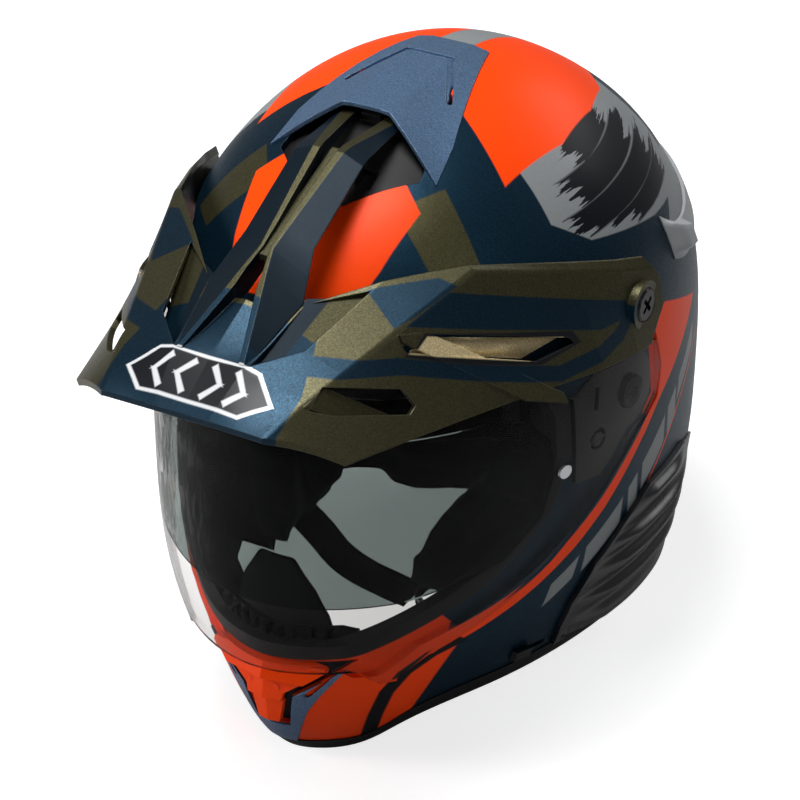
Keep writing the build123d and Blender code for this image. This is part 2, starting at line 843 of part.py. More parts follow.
def peak_screw(side):
    """A coin screw: slotted head in the pad of the peak, shank in the spacer."""
    with BuildPart() as screw:
        with BuildSketch(Plane.YZ.offset(peak_face_x - peak_head_wall)):
            with Locations((peak_screw_y, peak_screw_z)):
                Circle(peak_head_radius)
        extrude(amount=peak_head_wall + 0.8)
        chamfer(screw.faces().sort_by(Axis.X)[-1].edges(), 0.7)
        with BuildSketch(Plane.YZ.offset(peak_face_x - 1.0)):
            with Locations((peak_screw_y, peak_screw_z)):
                Rectangle(2.2, 9, rotation=35)
                Rectangle(9, 2.2, rotation=35)
        extrude(amount=5, mode=Mode.SUBTRACT)
        with BuildSketch(Plane.YZ.offset(peak_seat_x - 3)):
            with Locations((peak_screw_y, peak_screw_z)):
                Circle(peak_shank_radius)
        extrude(amount=peak_face_x - peak_seat_x + 1)
    return screw.part if side > 0 else mirror(screw.part, about=Plane.YZ)


with BuildPart() as peak_boss_left:
    add(peak_boss(1))
save(peak_boss_left, "peak_boss_left")

with BuildPart() as peak_boss_right:
    add(peak_boss(-1))
save(peak_boss_right, "peak_boss_right")

with BuildPart() as peak_screw_left:
    add(peak_screw(1))
save(peak_screw_left, "peak_screw_left")

with BuildPart() as peak_screw_right:
    add(peak_screw(-1))
save(peak_screw_right, "peak_screw_right")

# Face shield: clear moulded shield that swings up on its two side pivots
shield_outer = shield_form(0)
shield_inner = shield_form(shield_wall)
lens_inner = shield_form(shield_wall + lens_wall)
hub_face = half_width + shield_levels[4][1] - shield_wall

with BuildPart() as face_shield:
    add(shield_outer)
    add(shield_inner, mode=Mode.SUBTRACT)
    add(side_block(shield_outline, corner=2, ends=(-140, 300)), mode=Mode.INTERSECT)
save(face_shield, "face_shield")


def hub_disc(side, near, length, radius, bore=0.0):
    """A disc about the shield's axis on one side of the helmet."""
    with BuildPart() as disc:
        with BuildSketch(Plane.YZ.offset(side * near)):
            with Locations((pivot_y, pivot_z)):
                Circle(radius)
                if bore:
                    Circle(bore, mode=Mode.SUBTRACT)
        extrude(amount=side * length)
    return disc.part


# Hubs of the shield, which turn in the base plates
with BuildPart() as shield_hubs:
    hub_length = recess_depth + shield_levels[4][1] - shield_wall - seat_gap
    for side in (-1, 1):
        add(hub_disc(side, half_width - recess_depth + seat_gap, hub_length + 1, hub_radius, 3.0))
    add(shield_inner, mode=Mode.INTERSECT)
save(shield_hubs, "shield_hubs")

# Inner lens held against fogging, with its two pins
lens_outline = (
    (front_end, lens_low), (-112, lens_low), (-72, lens_low + 8), (-52, lens_low + 24),
    (lens_rear, lens_low + 42), (lens_rear, lens_low + 62), (-56, lens_high - 6),
    (-72, lens_high), (front_end, lens_high),
)
with BuildPart() as insert_lens:
    add(shield_inner)
    add(lens_inner, mode=Mode.SUBTRACT)
    add(side_block(lens_outline, corner=5, ends=(-140, 300)), mode=Mode.INTERSECT)
save(insert_lens, "insert_lens")

pin_y = lens_rear + pin_radius + 0.4
pin_z = lens_low + 44
with BuildPart() as insert_pins:
    with BuildSketch(Plane.YZ):
        with Locations((pin_y, pin_z)):
            Circle(pin_radius)
    extrude(amount=200, both=True)
    add(shield_form(-pin_wall), mode=Mode.INTERSECT)
    add(shield_outer, mode=Mode.SUBTRACT)
save(insert_pins, "insert_pins")


def shield_base(side):
    """The plate on the shell that carries one hub of the shield."""
    with BuildPart() as base:
        with BuildSketch(Plane.YZ):
            with Locations((pivot_y, pivot_z)):
                Circle(shield_heel - 5.5)
            with BuildLine():
                Polyline(
                    (pivot_y, pivot_z - 15.6), (pivot_y - 22, pivot_z - 34.6),
                    (port_rear + 11, pivot_z - 31.6), (port_rear + 11, pivot_z + 14),
                    (pivot_y - 20, pivot_z + 20), (pivot_y, pivot_z + 17), close=True)
            make_face()
            with Locations((pivot_y, pivot_z)):
                Circle(hub_radius + hub_clearance, mode=Mode.SUBTRACT)
                with PolarLocations(0, 1, start_angle=160):
                    SlotArc(CenterArc((0, 0), 13.2, 0, 70), 2.4, mode=Mode.SUBTRACT)
            with Locations((pivot_y - 24, pivot_z - 14)):
                Circle(5.4, mode=Mode.SUBTRACT)
                Circle(3.6)
                Rectangle(12, 1.6)
            with Locations((pivot_y - 24, pivot_z + 8)):
                SlotOverall(12, 3, rotation=80, mode=Mode.SUBTRACT)
        extrude(amount=side * 200)
        add(gasket_face, mode=Mode.INTERSECT)
        add(recess_floor, mode=Mode.SUBTRACT)
    return base.part


with BuildPart() as shield_base_left:
    add(shield_base(1))
save(shield_base_left, "shield_base_left")

with BuildPart() as shield_base_right:
    add(shield_base(-1))
save(shield_base_right, "shield_base_right")

# Intake tray under the top vent: black, with slots into the liner
with BuildPart() as intake_tray:
    add(foam_skin)
    add(even_form(shell_wall + foam_gap + tray_wall), mode=Mode.SUBTRACT)
    add(plan_block(intake_outline, 240, 320, grow=tray_lap), mode=Mode.INTERSECT)
    with Locations(*[Location((x, -46, 280)) for x in (-13, 0, 13)]):
        Box(8, 9, 80, mode=Mode.SUBTRACT)
save(intake_tray, "intake_tray")


def vent_section(y, wall=0.0):
    """Half of the top vent cover across its length: flat top and sloping side."""
    run = (y - mouth_y) / (plateau_end - mouth_y)
    top_half = mouth_half + run * (plateau_half_end - mouth_half)
    top = mouth_height + run
    edge_x = along(vent_edge, y)[0]
    edge_z = skin_height(edge_x, y) + vent_step
    if y > plateau_end:
        share = (y - plateau_end) / (vent_tail[1] - plateau_end)
        top -= share * (top - skin_height(0, vent_tail[1]) - vent_step)
    outer = ((0, top), (top_half, top), (edge_x, edge_z))
    low = 256.0
    if wall:
        inner = drawn_in(outer, wall)
        outline = (*inner, (inner[-1][0], low), (0, low))
    else:
        outline = (*outer, (edge_x, low), (0, low))
    with BuildSketch(Plane.XZ.offset(-y)) as view:
        with BuildLine():
            Polyline(*outline, close=True)
        make_face()
    return view.sketch


vent_edge = tuple((y, x, 0) for x, y in (mouth_tip, vent_shoulder, vent_tail))
vent_stations = (-46, mouth_tip[1], vent_shoulder[1], -4, 8, 20, plateau_end)
with BuildPart() as top_vent_cover:
    for y in (*vent_stations, 45, vent_tail[1]):
        add(vent_section(y))
    loft(ruled=True)
    with BuildPart(mode=Mode.PRIVATE) as vent_inside:
        for y in vent_stations[:-1]:
            add(vent_section(y, vent_wall))
        loft(ruled=True)
    add(vent_inside.part, mode=Mode.SUBTRACT)
    slope = (mouth_y - mouth_tip[1]) / (mouth_tip[0] - mouth_half)
    add(plan_block((
        (-1, -90), (90, -90), (90, mouth_y - slope * (90 - mouth_half)), (mouth_half, mouth_y),
        (mouth_half - 5.5, mouth_y + 1), (-1, mouth_y + 1)), 200, 330), mode=Mode.SUBTRACT)
    add(skin, mode=Mode.SUBTRACT)
    # the groove round the rear of the raised part
    with BuildPart(mode=Mode.PRIVATE) as groove:
        with BuildSketch(Plane.XY.offset(250)):
            with BuildLine():
                Polyline((-1, plateau_end + 1), (plateau_half_end, plateau_end + 1), (27, 5))
                offset(amount=vent_slot / 2, kind=Kind.INTERSECTION)
            make_face()
        extrude(amount=80)
    with BuildPart(mode=Mode.PRIVATE) as groove_floor:
        for y in (*vent_stations[2:], 45, vent_tail[1]):
            add(vent_section(y, 1.3))
        loft(ruled=True)
    with BuildPart(mode=Mode.PRIVATE) as groove_cut:
        add(groove.part)
        add(groove_floor.part, mode=Mode.SUBTRACT)
    add(groove_cut.part, mode=Mode.SUBTRACT)
    mirror(about=Plane.YZ)
save(top_vent_cover, "top_vent_cover")

# Thumb slider that closes the top intake
slide_y = -9.0
slide_z = skin_height(0, slide_y) - shell_wall - foam_gap + seat_gap
slide_tilt = Plane(origin=(0, slide_y, slide_z), x_dir=(1, 0, 0), z_dir=(0, -0.212, 0.977))
with BuildPart() as top_vent_slider:
    with BuildSketch(slide_tilt):
        RectangleRounded(13, 22, 2)
    extrude(amount=1.6)
    with BuildSketch(slide_tilt.offset(1.6)):
        with Locations((0, -8)):
            Rectangle(10, 3)
    extrude(amount=3.0)
save(top_vent_slider, "top_vent_slider")

# Rear spoiler over the exhaust, open at its lower edge
with BuildPart() as rear_spoiler:
    add(even_form(-spoiler_proud))
    add(skin, mode=Mode.SUBTRACT)
    add(side_block((
        (58, 216), (64, 236), (90, 243), (140, 237), (210, 230), (210, 206), (120, 203),
        (80, 206)), corner=3, ends=(-300, 200)), mode=Mode.INTERSECT)
    with BuildPart(mode=Mode.PRIVATE) as outlet:
        with Locations(*[Location((x, exhaust_y, exhaust_z - 7)) for x in (-15.5, 0, 15.5)]):
            Box(13, exhaust_size[1], exhaust_size[2] + 14)
        add(even_form(-spoiler_proud + 2.2), mode=Mode.INTERSECT)
    add(outlet.part, mode=Mode.SUBTRACT)
save(rear_spoiler, "rear_spoiler")


def side_skirt(side):
    """The ribbed lower side cover behind the chin on one side."""
    with BuildPart() as skirt:
        with BuildSketch(Plane.YZ) as view:
            with BuildLine():
                Polyline(
                    (-32, 47), (-14.5, 90), (31, 116.5), (76, 104), (112, 62), (122, 34),
                    (100, 24), (60, 37), (20, 42), (-20, 43), close=True)
            make_face()
            fillet(view.vertices(), 4)
        extrude(amount=side * 200)
        add(even_form(-skirt_proud), mode=Mode.INTERSECT)
        add(skin, mode=Mode.SUBTRACT)
        with BuildPart(mode=Mode.PRIVATE) as ribs:
            with BuildSketch(Plane.YZ) as view:
                for k in range(skirt_ribs):
                    with Locations((2 + 13 * k, 66 + 2.5 * k)):
                        SlotOverall(34 - 2 * k, 4.5, rotation=38)
            extrude(amount=side * 200)
            add(even_form(-skirt_proud + 2.2), mode=Mode.SUBTRACT)
        add(ribs.part, mode=Mode.SUBTRACT)
    return skirt.part


with BuildPart() as side_skirt_left:
    add(side_skirt(1))
save(side_skirt_left, "side_skirt_left")

with BuildPart() as side_skirt_right:
    add(side_skirt(-1))
save(side_skirt_right, "side_skirt_right")

# Chin vent: dark grille, V frame on the shell, and the sliding cover in the middle
cover_profile = (
    (-132, 70), (-139.5, 56), (-136.5, 54.5), (-138.5, 44), (-135.5, 42.5), (-135, 28),
)
frame_outline = both_sides(((38.7, 64.1), (25, 46), (18, 35), (7.5, trim_height + 1)))

grille_top = shield_low - shield_margin - shell_wall - 2 * foam_gap

with BuildPart() as chin_vent_grille:
    add(foam_skin)
    add(even_form(shell_wall + foam_gap + grille_wall), mode=Mode.SUBTRACT)
    add(front_block(cover_outline, grow=grille_lap), mode=Mode.INTERSECT)
    add(plan_block(((-40, -200), (40, -200), (40, 0), (-40, 0)), 0, grille_top),
        mode=Mode.INTERSECT)
    add(lining_room.part, mode=Mode.SUBTRACT)
    with BuildPart(mode=Mode.PRIVATE) as louvres:
        with BuildSketch(Plane.XZ.offset(60)):
            for x, z in ((14, 58), (24, 59), (12, 51)):
                with Locations((x, z), (-x, z)):
                    SlotOverall(8, 2.6)
        extrude(amount=120)
    add(louvres.part, mode=Mode.SUBTRACT)
save(chin_vent_grille, "chin_vent_grille")

with BuildPart() as chin_vent_frame:
    add(even_form(-frame_proud))
    add(skin, mode=Mode.SUBTRACT)
    add(front_block(frame_outline, corner=1.5), mode=Mode.INTERSECT)
    add(front_block(cover_outline, grow=louvre_gap), mode=Mode.SUBTRACT)
    for side in (-1, 1):
        add(front_block([(side * x, z) for x, z in (
            (31, 57.6), (21.6, 46.6), (19.6, 45.2), (18.2, 46.4), (20.4, 49), (29.6, 57.8))]),
            mode=Mode.SUBTRACT)
save(chin_vent_frame, "chin_vent_frame")


def cover_half(side):
    """Half of the chin vent cover: its profile swept back from the middle."""
    back = [(y + 2.6, z - 0.6) for y, z in reversed(cover_profile)]
    with BuildPart() as half:
        with BuildSketch(Plane.YZ):
            with BuildLine():
                Polyline(*cover_profile, *back, close=True)
            make_face()
        extrude(dir=Vector(side, 0.2, 0), amount=50)
    return half.part


with BuildPart() as chin_vent_cover:
    add(cover_half(1))
    add(cover_half(-1))
    add(front_block(cover_outline, near=-100, corner=1.2), mode=Mode.INTERSECT)
    add(even_form(shell_wall - 0.8), mode=Mode.SUBTRACT)
    # stems that reach back to the grille and guide the cover
    with BuildPart(mode=Mode.PRIVATE) as stems:
        with Locations(*[Location((x, -130, 50)) for x in (-6, 6)]):
            Box(4, 12, 5)
        add(even_form(shell_wall + foam_gap - seat_gap), mode=Mode.SUBTRACT)
    add(stems.part)
save(chin_vent_cover, "chin_vent_cover")

# Ribbed demist strip on the deck behind the gasket, with its knob
strip_low = deck_top + seat_gap
with BuildPart() as demist_strip:
    add(even_form(strip_depth))
    add(even_form(strip_depth + strip_wall), mode=Mode.SUBTRACT)
    add(front_block(both_sides((
        (strip_half, strip_low), (strip_half, strip_low + 6), (strip_half - 6, strip_low + strip_height),
    )), near=-60), mode=Mode.INTERSECT)
    with BuildPart(mode=Mode.PRIVATE) as grooves:
        pitch = 2 * (strip_half - 6) / strip_ribs
        with Locations(*[
            Location(((k - (strip_ribs - 1) / 2) * pitch, -100, strip_low + strip_height)) for k in range(strip_ribs)
        ]):
            Box(pitch * 0.55, 90, 2 * strip_height - 6)
        add(even_form(strip_depth + strip_wall - 2.4), mode=Mode.SUBTRACT)
    add(grooves.part, mode=Mode.SUBTRACT)
save(demist_strip, "demist_strip")

# Breath guard over the nose, a thin rubber blade standing on the deck
with BuildPart() as breath_guard:
    add(even_form(strip_depth + strip_wall + seat_gap))
    add(even_form(strip_depth + strip_wall + seat_gap + guard_wall), mode=Mode.SUBTRACT)
    add(front_block(both_sides((
        (26, strip_low), (24, 84), (19, 98), (9, 114),
    )), near=-60, corner=3), mode=Mode.INTERSECT)
save(breath_guard, "breath_guard")

# Lever of the sun visor: it slides along a slot low on the wearer's left
with BuildPart() as sun_visor_slider:
    for near, far, height, depth_out, depth_in in (
        (lever_y - lever_length / 2, lever_y + lever_length / 2, lever_height, -3.4, -0.4),
        (lever_y - stem_length / 2, lever_y + stem_length / 2, stem_height, -1.0, 4.4),
        (lever_y - stem_length / 2, lever_y + stem_length / 2, lever_height, 3.7, 5.2),
    ):
        with BuildPart(mode=Mode.PRIVATE) as layer:
            add(even_form(depth_out))
            add(even_form(depth_in), mode=Mode.SUBTRACT)
            with Locations((50 + half_width / 2, (near + far) / 2, lever_z)):
                Box(100, far - near, height, mode=Mode.INTERSECT)
        add(layer.part)
save(sun_visor_slider, "sun_visor_slider")

# Strap anchors: a plate under the liner on each side, fixed to the shell
anchor_high = foam_low - seat_gap
with BuildPart() as strap_anchors:
    with BuildSketch(Plane.XY.offset(anchor_high - anchor_wall)):
        for side in (-1, 1):
            with Locations((side * (anchor_x + 20), strap_y)):
                Rectangle(40, strap_width + 4)
    extrude(amount=anchor_wall)
    add(skin_inside, mode=Mode.INTERSECT)
save(strap_anchors, "strap_anchors")


def strap(side, path, loop=None):
    """Webbing hung from its anchor along a front-view path of (x, z) points."""
    with BuildPart() as band:
        with BuildSketch(Plane.XZ.offset(-(strap_y + strap_width / 2))):
            with BuildLine():
                Spline(*((side * x, z) for x, z in path), tangents=((-side, 0), (-side, -0.2)))
            trace(line_width=strap_wall)
            if loop:
                with Locations((side * loop[0], loop[1])):
                    Circle(loop[2] + strap_wall)
                    Circle(loop[2], mode=Mode.SUBTRACT)
        extrude(amount=strap_width)
    return band.part


strap_top = anchor_high - anchor_wall - seat_gap - strap_wall / 2
loop_x = 18.0
loop_z = 14.0
loop_hole = ring_wire + 0.2 + seat_gap
path_left = ((anchor_x + 18, strap_top), (anchor_x + 4, strap_top - 0.6), (anchor_x - 14, 31), (46, 18),
             (loop_x + loop_hole + strap_wall, loop_z + 1))
path_right = ((anchor_x + 18, strap_top), (anchor_x + 4, strap_top - 0.6), (anchor_x - 14, 31), (44, 17),
              (16, 9.5), (2, 8))

with BuildPart() as chin_strap_left:
    add(strap(1, path_left, (loop_x, loop_z, loop_hole)))
save(chin_strap_left, "chin_strap_left")

with BuildPart() as chin_strap_right:
    add(strap(-1, path_right))
save(chin_strap_right, "chin_strap_right")


def d_ring(level, reach):
    """One steel ring: a straight bar in the strap loop and a round bow."""
    half = strap_width / 2 + ring_wire
    with BuildPart() as ring:
        with BuildLine():
            Line((loop_x, strap_y - half, level), (loop_x, strap_y + half, level))
            ThreePointArc(
                (loop_x, strap_y + half, level),
                (loop_x - reach, strap_y, level),
                (loop_x, strap_y - half, level),
            )
        with BuildSketch(Plane(origin=(loop_x, strap_y - half, level), z_dir=(0, 1, 0))):
            Circle(ring_wire / 2)
        sweep(transition=Transition.ROUND)
    return ring.part


with BuildPart() as d_rings:
    add(d_ring(loop_z - ring_wire / 2 - 0.2, ring_reach))
    add(d_ring(loop_z + ring_wire / 2 + 0.2, ring_reach))
save(d_rings, "d_rings")
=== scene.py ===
import math

import bmesh
import bpy
from mathutils import Matrix, Vector
from mathutils.bvhtree import BVHTree


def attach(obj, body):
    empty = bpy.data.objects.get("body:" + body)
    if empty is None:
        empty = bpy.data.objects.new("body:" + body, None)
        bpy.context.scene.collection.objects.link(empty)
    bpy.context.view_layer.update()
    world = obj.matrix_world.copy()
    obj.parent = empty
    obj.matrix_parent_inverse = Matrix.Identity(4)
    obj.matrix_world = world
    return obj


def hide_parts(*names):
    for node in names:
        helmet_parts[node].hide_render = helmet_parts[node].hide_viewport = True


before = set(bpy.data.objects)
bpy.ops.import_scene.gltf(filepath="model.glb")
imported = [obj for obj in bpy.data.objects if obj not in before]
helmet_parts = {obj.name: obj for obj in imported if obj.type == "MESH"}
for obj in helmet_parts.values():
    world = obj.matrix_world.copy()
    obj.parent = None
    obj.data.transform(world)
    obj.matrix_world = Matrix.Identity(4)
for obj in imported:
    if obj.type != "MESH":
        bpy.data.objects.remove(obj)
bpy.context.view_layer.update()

scene = bpy.context.scene

# The table that the helmet stands on is white and takes its shadow. One large soft lamp hangs
# over the crown, a second stands low on the left of the face, and weak ones are right and behind.
table_reach = 6.0
table_gap = 0.0002
table_lift = 0.76
mirror_share = 0.12
table_white = (0.55, 0.55, 0.55, 1.0)
room_white = (1.0, 1.0, 1.0, 1.0)
room_grey = (0.07, 0.072, 0.078, 1.0)


def put(tree, kind, settings=None, **sockets):
    """A shader node with its settings, and each input set to a value or linked from a socket."""
    made = tree.nodes.new("ShaderNode" + kind)
    for key, value in (settings or {}).items():
        setattr(made, key, value)
    for key, value in sockets.items():
        fill(tree, made.inputs[int(key[1:]) if key[1:].isdigit() else key.replace("_", " ")], value)
    return made


def fill(tree, socket, value):
    """Links a socket to the input, or sets the input to a plain value."""
    if isinstance(value, bpy.types.NodeSocket):
        tree.links.new(value, socket)
    else:
        socket.default_value = value


def feed(tree, inputs, **sockets):
    """Links sockets to the inputs of those names, on a shader or on a group's own output."""
    for key, value in sockets.items():
        tree.links.new(value, inputs[key.replace("_", " ")])


def calc(tree, operation, *values):
    """One sum on numbers or sockets, and the socket with its result."""
    sockets = {"_%d" % k: value for k, value in enumerate(values)}
    return put(tree, "Math", {"operation": operation}, **sockets).outputs[0]


def tint(tree, mask, under, over):
    """Paint over paint, where the mask is one."""
    mix = put(tree, "Mix", {"data_type": "RGBA"}, Factor=mask)
    for key, value in (("A", under), ("B", over)):
        fill(tree, [s for s in mix.inputs if s.name == key and s.type == "RGBA"][0], value)
    return [s for s in mix.outputs if s.type == "RGBA"][0]


def material_of(name, **sockets):
    """A material with its one Principled shader, and plain values on that shader's own sockets."""
    material = bpy.data.materials.new(name)
    material.use_nodes = True
    shader = material.node_tree.nodes["Principled BSDF"]
    for key, value in sockets.items():
        shader.inputs[key.replace("_", " ")].default_value = value
    return material, material.node_tree, shader


def from_rays(tree):
    """One where a ray comes from the camera, straight or through glass, and the same for a mirror's."""
    path = put(tree, "LightPath").outputs
    direct = calc(tree, "LESS_THAN", calc(tree, "ADD", path["Diffuse Depth"], path["Glossy Depth"]), 0.5)
    through = calc(tree, "MULTIPLY", path["Is Transmission Ray"], direct)
    return calc(tree, "MAXIMUM", path["Is Camera Ray"], through), path["Is Glossy Ray"]


def white_table():
    """A plain white table top, with its shadow kept and its far parts as white as the room."""
    material, tree, shader = material_of("white_table", Base_Color=table_white, Roughness=0.7,
                                         Specular_IOR_Level=0.1, Emission_Color=room_white)
    feed(tree, shader.inputs, Emission_Strength=calc(tree, "MULTIPLY", from_rays(tree)[0], table_lift))
    return material


def mesh_of(name, shape):
    """The built shape as a mesh of that name."""
    mesh = bpy.data.meshes.new(name)
    shape.to_mesh(mesh)
    shape.free()
    return mesh


sheet = bmesh.new()
bmesh.ops.create_grid(sheet, x_segments=4, y_segments=4, size=table_reach)
table_mesh = mesh_of("table_top", sheet)
table_top = bpy.data.objects.new("table_top", table_mesh)
table_top.location.z = -table_gap
table_mesh.materials.append(white_table())
scene.collection.objects.link(table_top)

room = bpy.data.worlds.new("room")
room.use_nodes = True
scene.world = room
room_tree = room.node_tree
room_seen, room_mirrored = from_rays(room_tree)
room_all = calc(room_tree, "MAXIMUM", room_seen, calc(room_tree, "MULTIPLY", room_mirrored, mirror_share))
feed(room_tree, room_tree.nodes["Background"].inputs, Color=tint(room_tree, room_all, room_grey, room_white))


def soft_lamp(name, place, size, power):
    """A square soft box at a place, turned to the helmet."""
    lamp = bpy.data.lights.new(name, "AREA")
    lamp.shape = "RECTANGLE"
    lamp.size, lamp.size_y = size
    lamp.energy = power
    holder = bpy.data.objects.new(name, lamp)
    holder.location = place
    holder.rotation_euler = (Vector(helmet_middle) - Vector(place)).to_track_quat("-Z", "Y").to_euler()
    scene.collection.objects.link(holder)


helmet_middle = (0.0, 0.0, 0.15)
soft_lamp("crown_box", (-0.15, -0.10, 1.45), (0.70, 0.55), 19.0)
soft_lamp("left_box", (-1.35, -0.95, 0.75), (0.40, 0.9), 17.0)
soft_lamp("right_box", (1.55, -0.55, 1.25), (0.3, 0.8), 3.2)
soft_lamp("back_box", (0.5, 1.6, 1.0), (1.0, 0.5), 5.0)

# The camera looks down on the face from the wearer's upper left, as in the photograph
turn, height, roll = 0.55848, 0.57557, -0.04453
eye = Vector((0.72284, -1.16213, 1.01797))
looking_down = Matrix.Rotation(turn, 4, "Z") @ Matrix.Rotation(math.pi / 2 - height, 4, "X")
camera = bpy.data.cameras.new("camera")
camera.sensor_width = 36.0
camera.lens = 152.2
camera.clip_start = 0.05
camera.clip_end = 60.0
camera_holder = bpy.data.objects.new("camera", camera)
camera_holder.matrix_world = Matrix.Translation(eye) @ looking_down @ Matrix.Rotation(roll, 4, "Z")
scene.collection.objects.link(camera_holder)
scene.camera = camera_holder
scene.view_settings.view_transform = "Standard"

# The shell is laid up from fibre and sprayed: satin flaked navy, with flat orange and grey areas,
# olive bands and black brush marks under a clear satin coat.
navy = (0.0045, 0.021, 0.038, 1.0)
olive = (0.052, 0.048, 0.022, 1.0)
orange = (0.95, 0.058, 0.0, 1.0)
pale_grey = (0.22, 0.235, 0.24, 1.0)
ink_black = (0.003, 0.004, 0.006, 1.0)
flake_metal = 0.78


def effect(name, inputs, outputs):
    """An empty shader group with named inputs and outputs."""
    group = bpy.data.node_groups.new(name, "ShaderNodeTree")
    for kind, key, value in inputs:
        socket = group.interface.new_socket(key, in_out="INPUT", socket_type="NodeSocket" + kind)
        if value is not None:
            socket.default_value = value
    for kind, key in outputs:
        group.interface.new_socket(key, in_out="OUTPUT", socket_type="NodeSocket" + kind)
    return group, group.nodes.new("NodeGroupInput").outputs, group.nodes.new("NodeGroupOutput").inputs


def use(tree, group, **sockets):
    """A group placed in a material with its own values."""
    return put(tree, "Group", {"node_tree": group}, **sockets).outputs


def object_spot(tree):
    return put(tree, "TexCoord").outputs["Object"]


def noise(tree, spot, scale, detail, **sockets):
    return put(tree, "TexNoise", Vector=spot, Scale=scale, Detail=detail, **sockets).outputs["Fac"]


def ranged(tree, value, *limits):
    """A value brought from one range, low and high, into another, 0 to 1 where it isn't given."""
    sockets = {"_%d" % (k + 1): limit for k, limit in enumerate(limits)}
    return put(tree, "MapRange", {"clamp": True}, Value=value, **sockets).outputs[0]


def scaled(tree, colour, share):
    """A colour or a vector made lighter or longer by a share."""
    return put(tree, "VectorMath", {"operation": "SCALE"}, _0=colour, Scale=share).outputs[0]


def stretched(tree, spot, by):
    return put(tree, "VectorMath", {"operation": "MULTIPLY"}, _0=spot, _1=by).outputs[0]


def reach_along(tree, spot, way):
    """How far a point lies along a way."""
    return put(tree, "VectorMath", {"operation": "DOT_PRODUCT"}, _0=spot, _1=way).outputs["Value"]


def bumped(tree, height, strength, distance):
    return put(tree, "Bump", Height=height, Strength=strength, Distance=distance).outputs[0]


def around_one(tree, value, least, gain):
    """A gain that starts at its least and rises with a value."""
    return calc(tree, "ADD", least, calc(tree, "MULTIPLY", value, gain))


def drifted(tree, roughness, value, middle, gain):
    """A roughness that goes up and down as a value leaves its middle."""
    shift = calc(tree, "MULTIPLY", calc(tree, "SUBTRACT", value, middle), gain)
    return calc(tree, "ADD", roughness, shift)


# Metal flake in satin paint: every flake is a little lighter or darker, and turned its own way
flake, flake_in, flake_out = effect(
    "satin_flake",
    [("Color", "Color", (0.1, 0.1, 0.1, 1)), ("Float", "Flake", 0.5), ("Float", "Flakes per metre", 2600.0),
     ("Float", "Roughness", 0.4)],
    [("Color", "Color"), ("Float", "Roughness"), ("Vector", "Normal")],
)
flake_middle, flake_darkest = 0.42, 0.2
flake_spot = object_spot(flake)
flake_cells = put(flake, "TexVoronoi", Vector=flake_spot, Scale=flake_in["Flakes per metre"])
flake_value = put(flake, "SeparateColor", Color=flake_cells.outputs["Color"]).outputs[0]
flake_shift = calc(flake, "MULTIPLY", calc(flake, "SUBTRACT", flake_value, flake_middle), flake_in["Flake"])
flake_gain = calc(flake, "MAXIMUM", calc(flake, "ADD", 1.0, flake_shift), flake_darkest)
flake_clouds = noise(flake, flake_spot, 24.0, 3.0)
flake_rough = calc(flake, "ADD", flake_in["Roughness"], calc(flake, "MULTIPLY", flake_shift, -0.12))
feed(flake, flake_out, Color=scaled(flake, flake_in["Color"], flake_gain),
     Roughness=drifted(flake, flake_rough, flake_clouds, 0.5, 0.08),
     Normal=bumped(flake, flake_value, calc(flake, "MULTIPLY", flake_in["Flake"], 0.16), 0.0004))

# Sharp moulded edges are rounded by a hair, and there the finish is lighter in patches: partly rubbed wear, partly a
# painted sheen along the edge
edge, edge_in, edge_out = effect(
    "rubbed_and_sheened_edge",
    [("Color", "Color", (0.1, 0.1, 0.1, 1)), ("Color", "Edge color", (0.3, 0.3, 0.3, 1)), ("Float", "Rub", 0.3),
     ("Float", "Radius", 0.0006), ("Vector", "Normal", None)],
    [("Color", "Color"), ("Vector", "Normal")],
)
edge_round = put(edge, "Bevel", {"samples": 4}, Radius=edge_in["Radius"], Normal=edge_in["Normal"]).outputs[0]
edge_flat = put(edge, "NewGeometry").outputs["Normal"]
edge_mask = ranged(edge, reach_along(edge, edge_round, edge_flat), 0.985, 0.80, 0.0, 1.0)
edge_chip = ranged(edge, noise(edge, object_spot(edge), 90.0, 4.0), 0.38, 0.66)
edge_rub_and_sheen = calc(edge, "MULTIPLY", calc(edge, "MULTIPLY", edge_mask, edge_chip), edge_in["Rub"])
feed(edge, edge_out, Color=tint(edge, edge_rub_and_sheen, edge_in["Color"], edge_in["Edge color"]), Normal=edge_round)

# Grain of moulded plastic and rubber: tiny pits, and a roughness that drifts over the piece
grain, grain_in, grain_out = effect(
    "moulded_grain",
    [("Color", "Color", (0.02, 0.02, 0.02, 1)), ("Float", "Pits per metre", 1500.0), ("Float", "Depth", 0.15),
     ("Float", "Roughness", 0.5)],
    [("Color", "Color"), ("Float", "Roughness"), ("Vector", "Normal")],
)
grain_spot = object_spot(grain)
grain_pits = noise(grain, grain_spot, grain_in["Pits per metre"], 2.0)
grain_drift = noise(grain, grain_spot, 32.0, 4.0)
grain_dust = ranged(grain, grain_drift, 0.3, 0.8, 0.86, 1.22)
feed(grain, grain_out, Color=scaled(grain, grain_in["Color"], grain_dust),
     Roughness=drifted(grain, grain_in["Roughness"], grain_drift, 0.5, 0.22),
     Normal=bumped(grain, grain_pits, grain_in["Depth"], 0.0004))


def mirrored_spot(tree):
    """A point of the piece in millimetres, with the wearer's right side folded onto the left."""
    spot = put(tree, "SeparateXYZ", Vector=object_spot(tree)).outputs
    folded = calc(tree, "ABSOLUTE", spot[0])
    return scaled(tree, put(tree, "CombineXYZ", X=folded, Y=spot[1], Z=spot[2]).outputs[0], 1000.0)


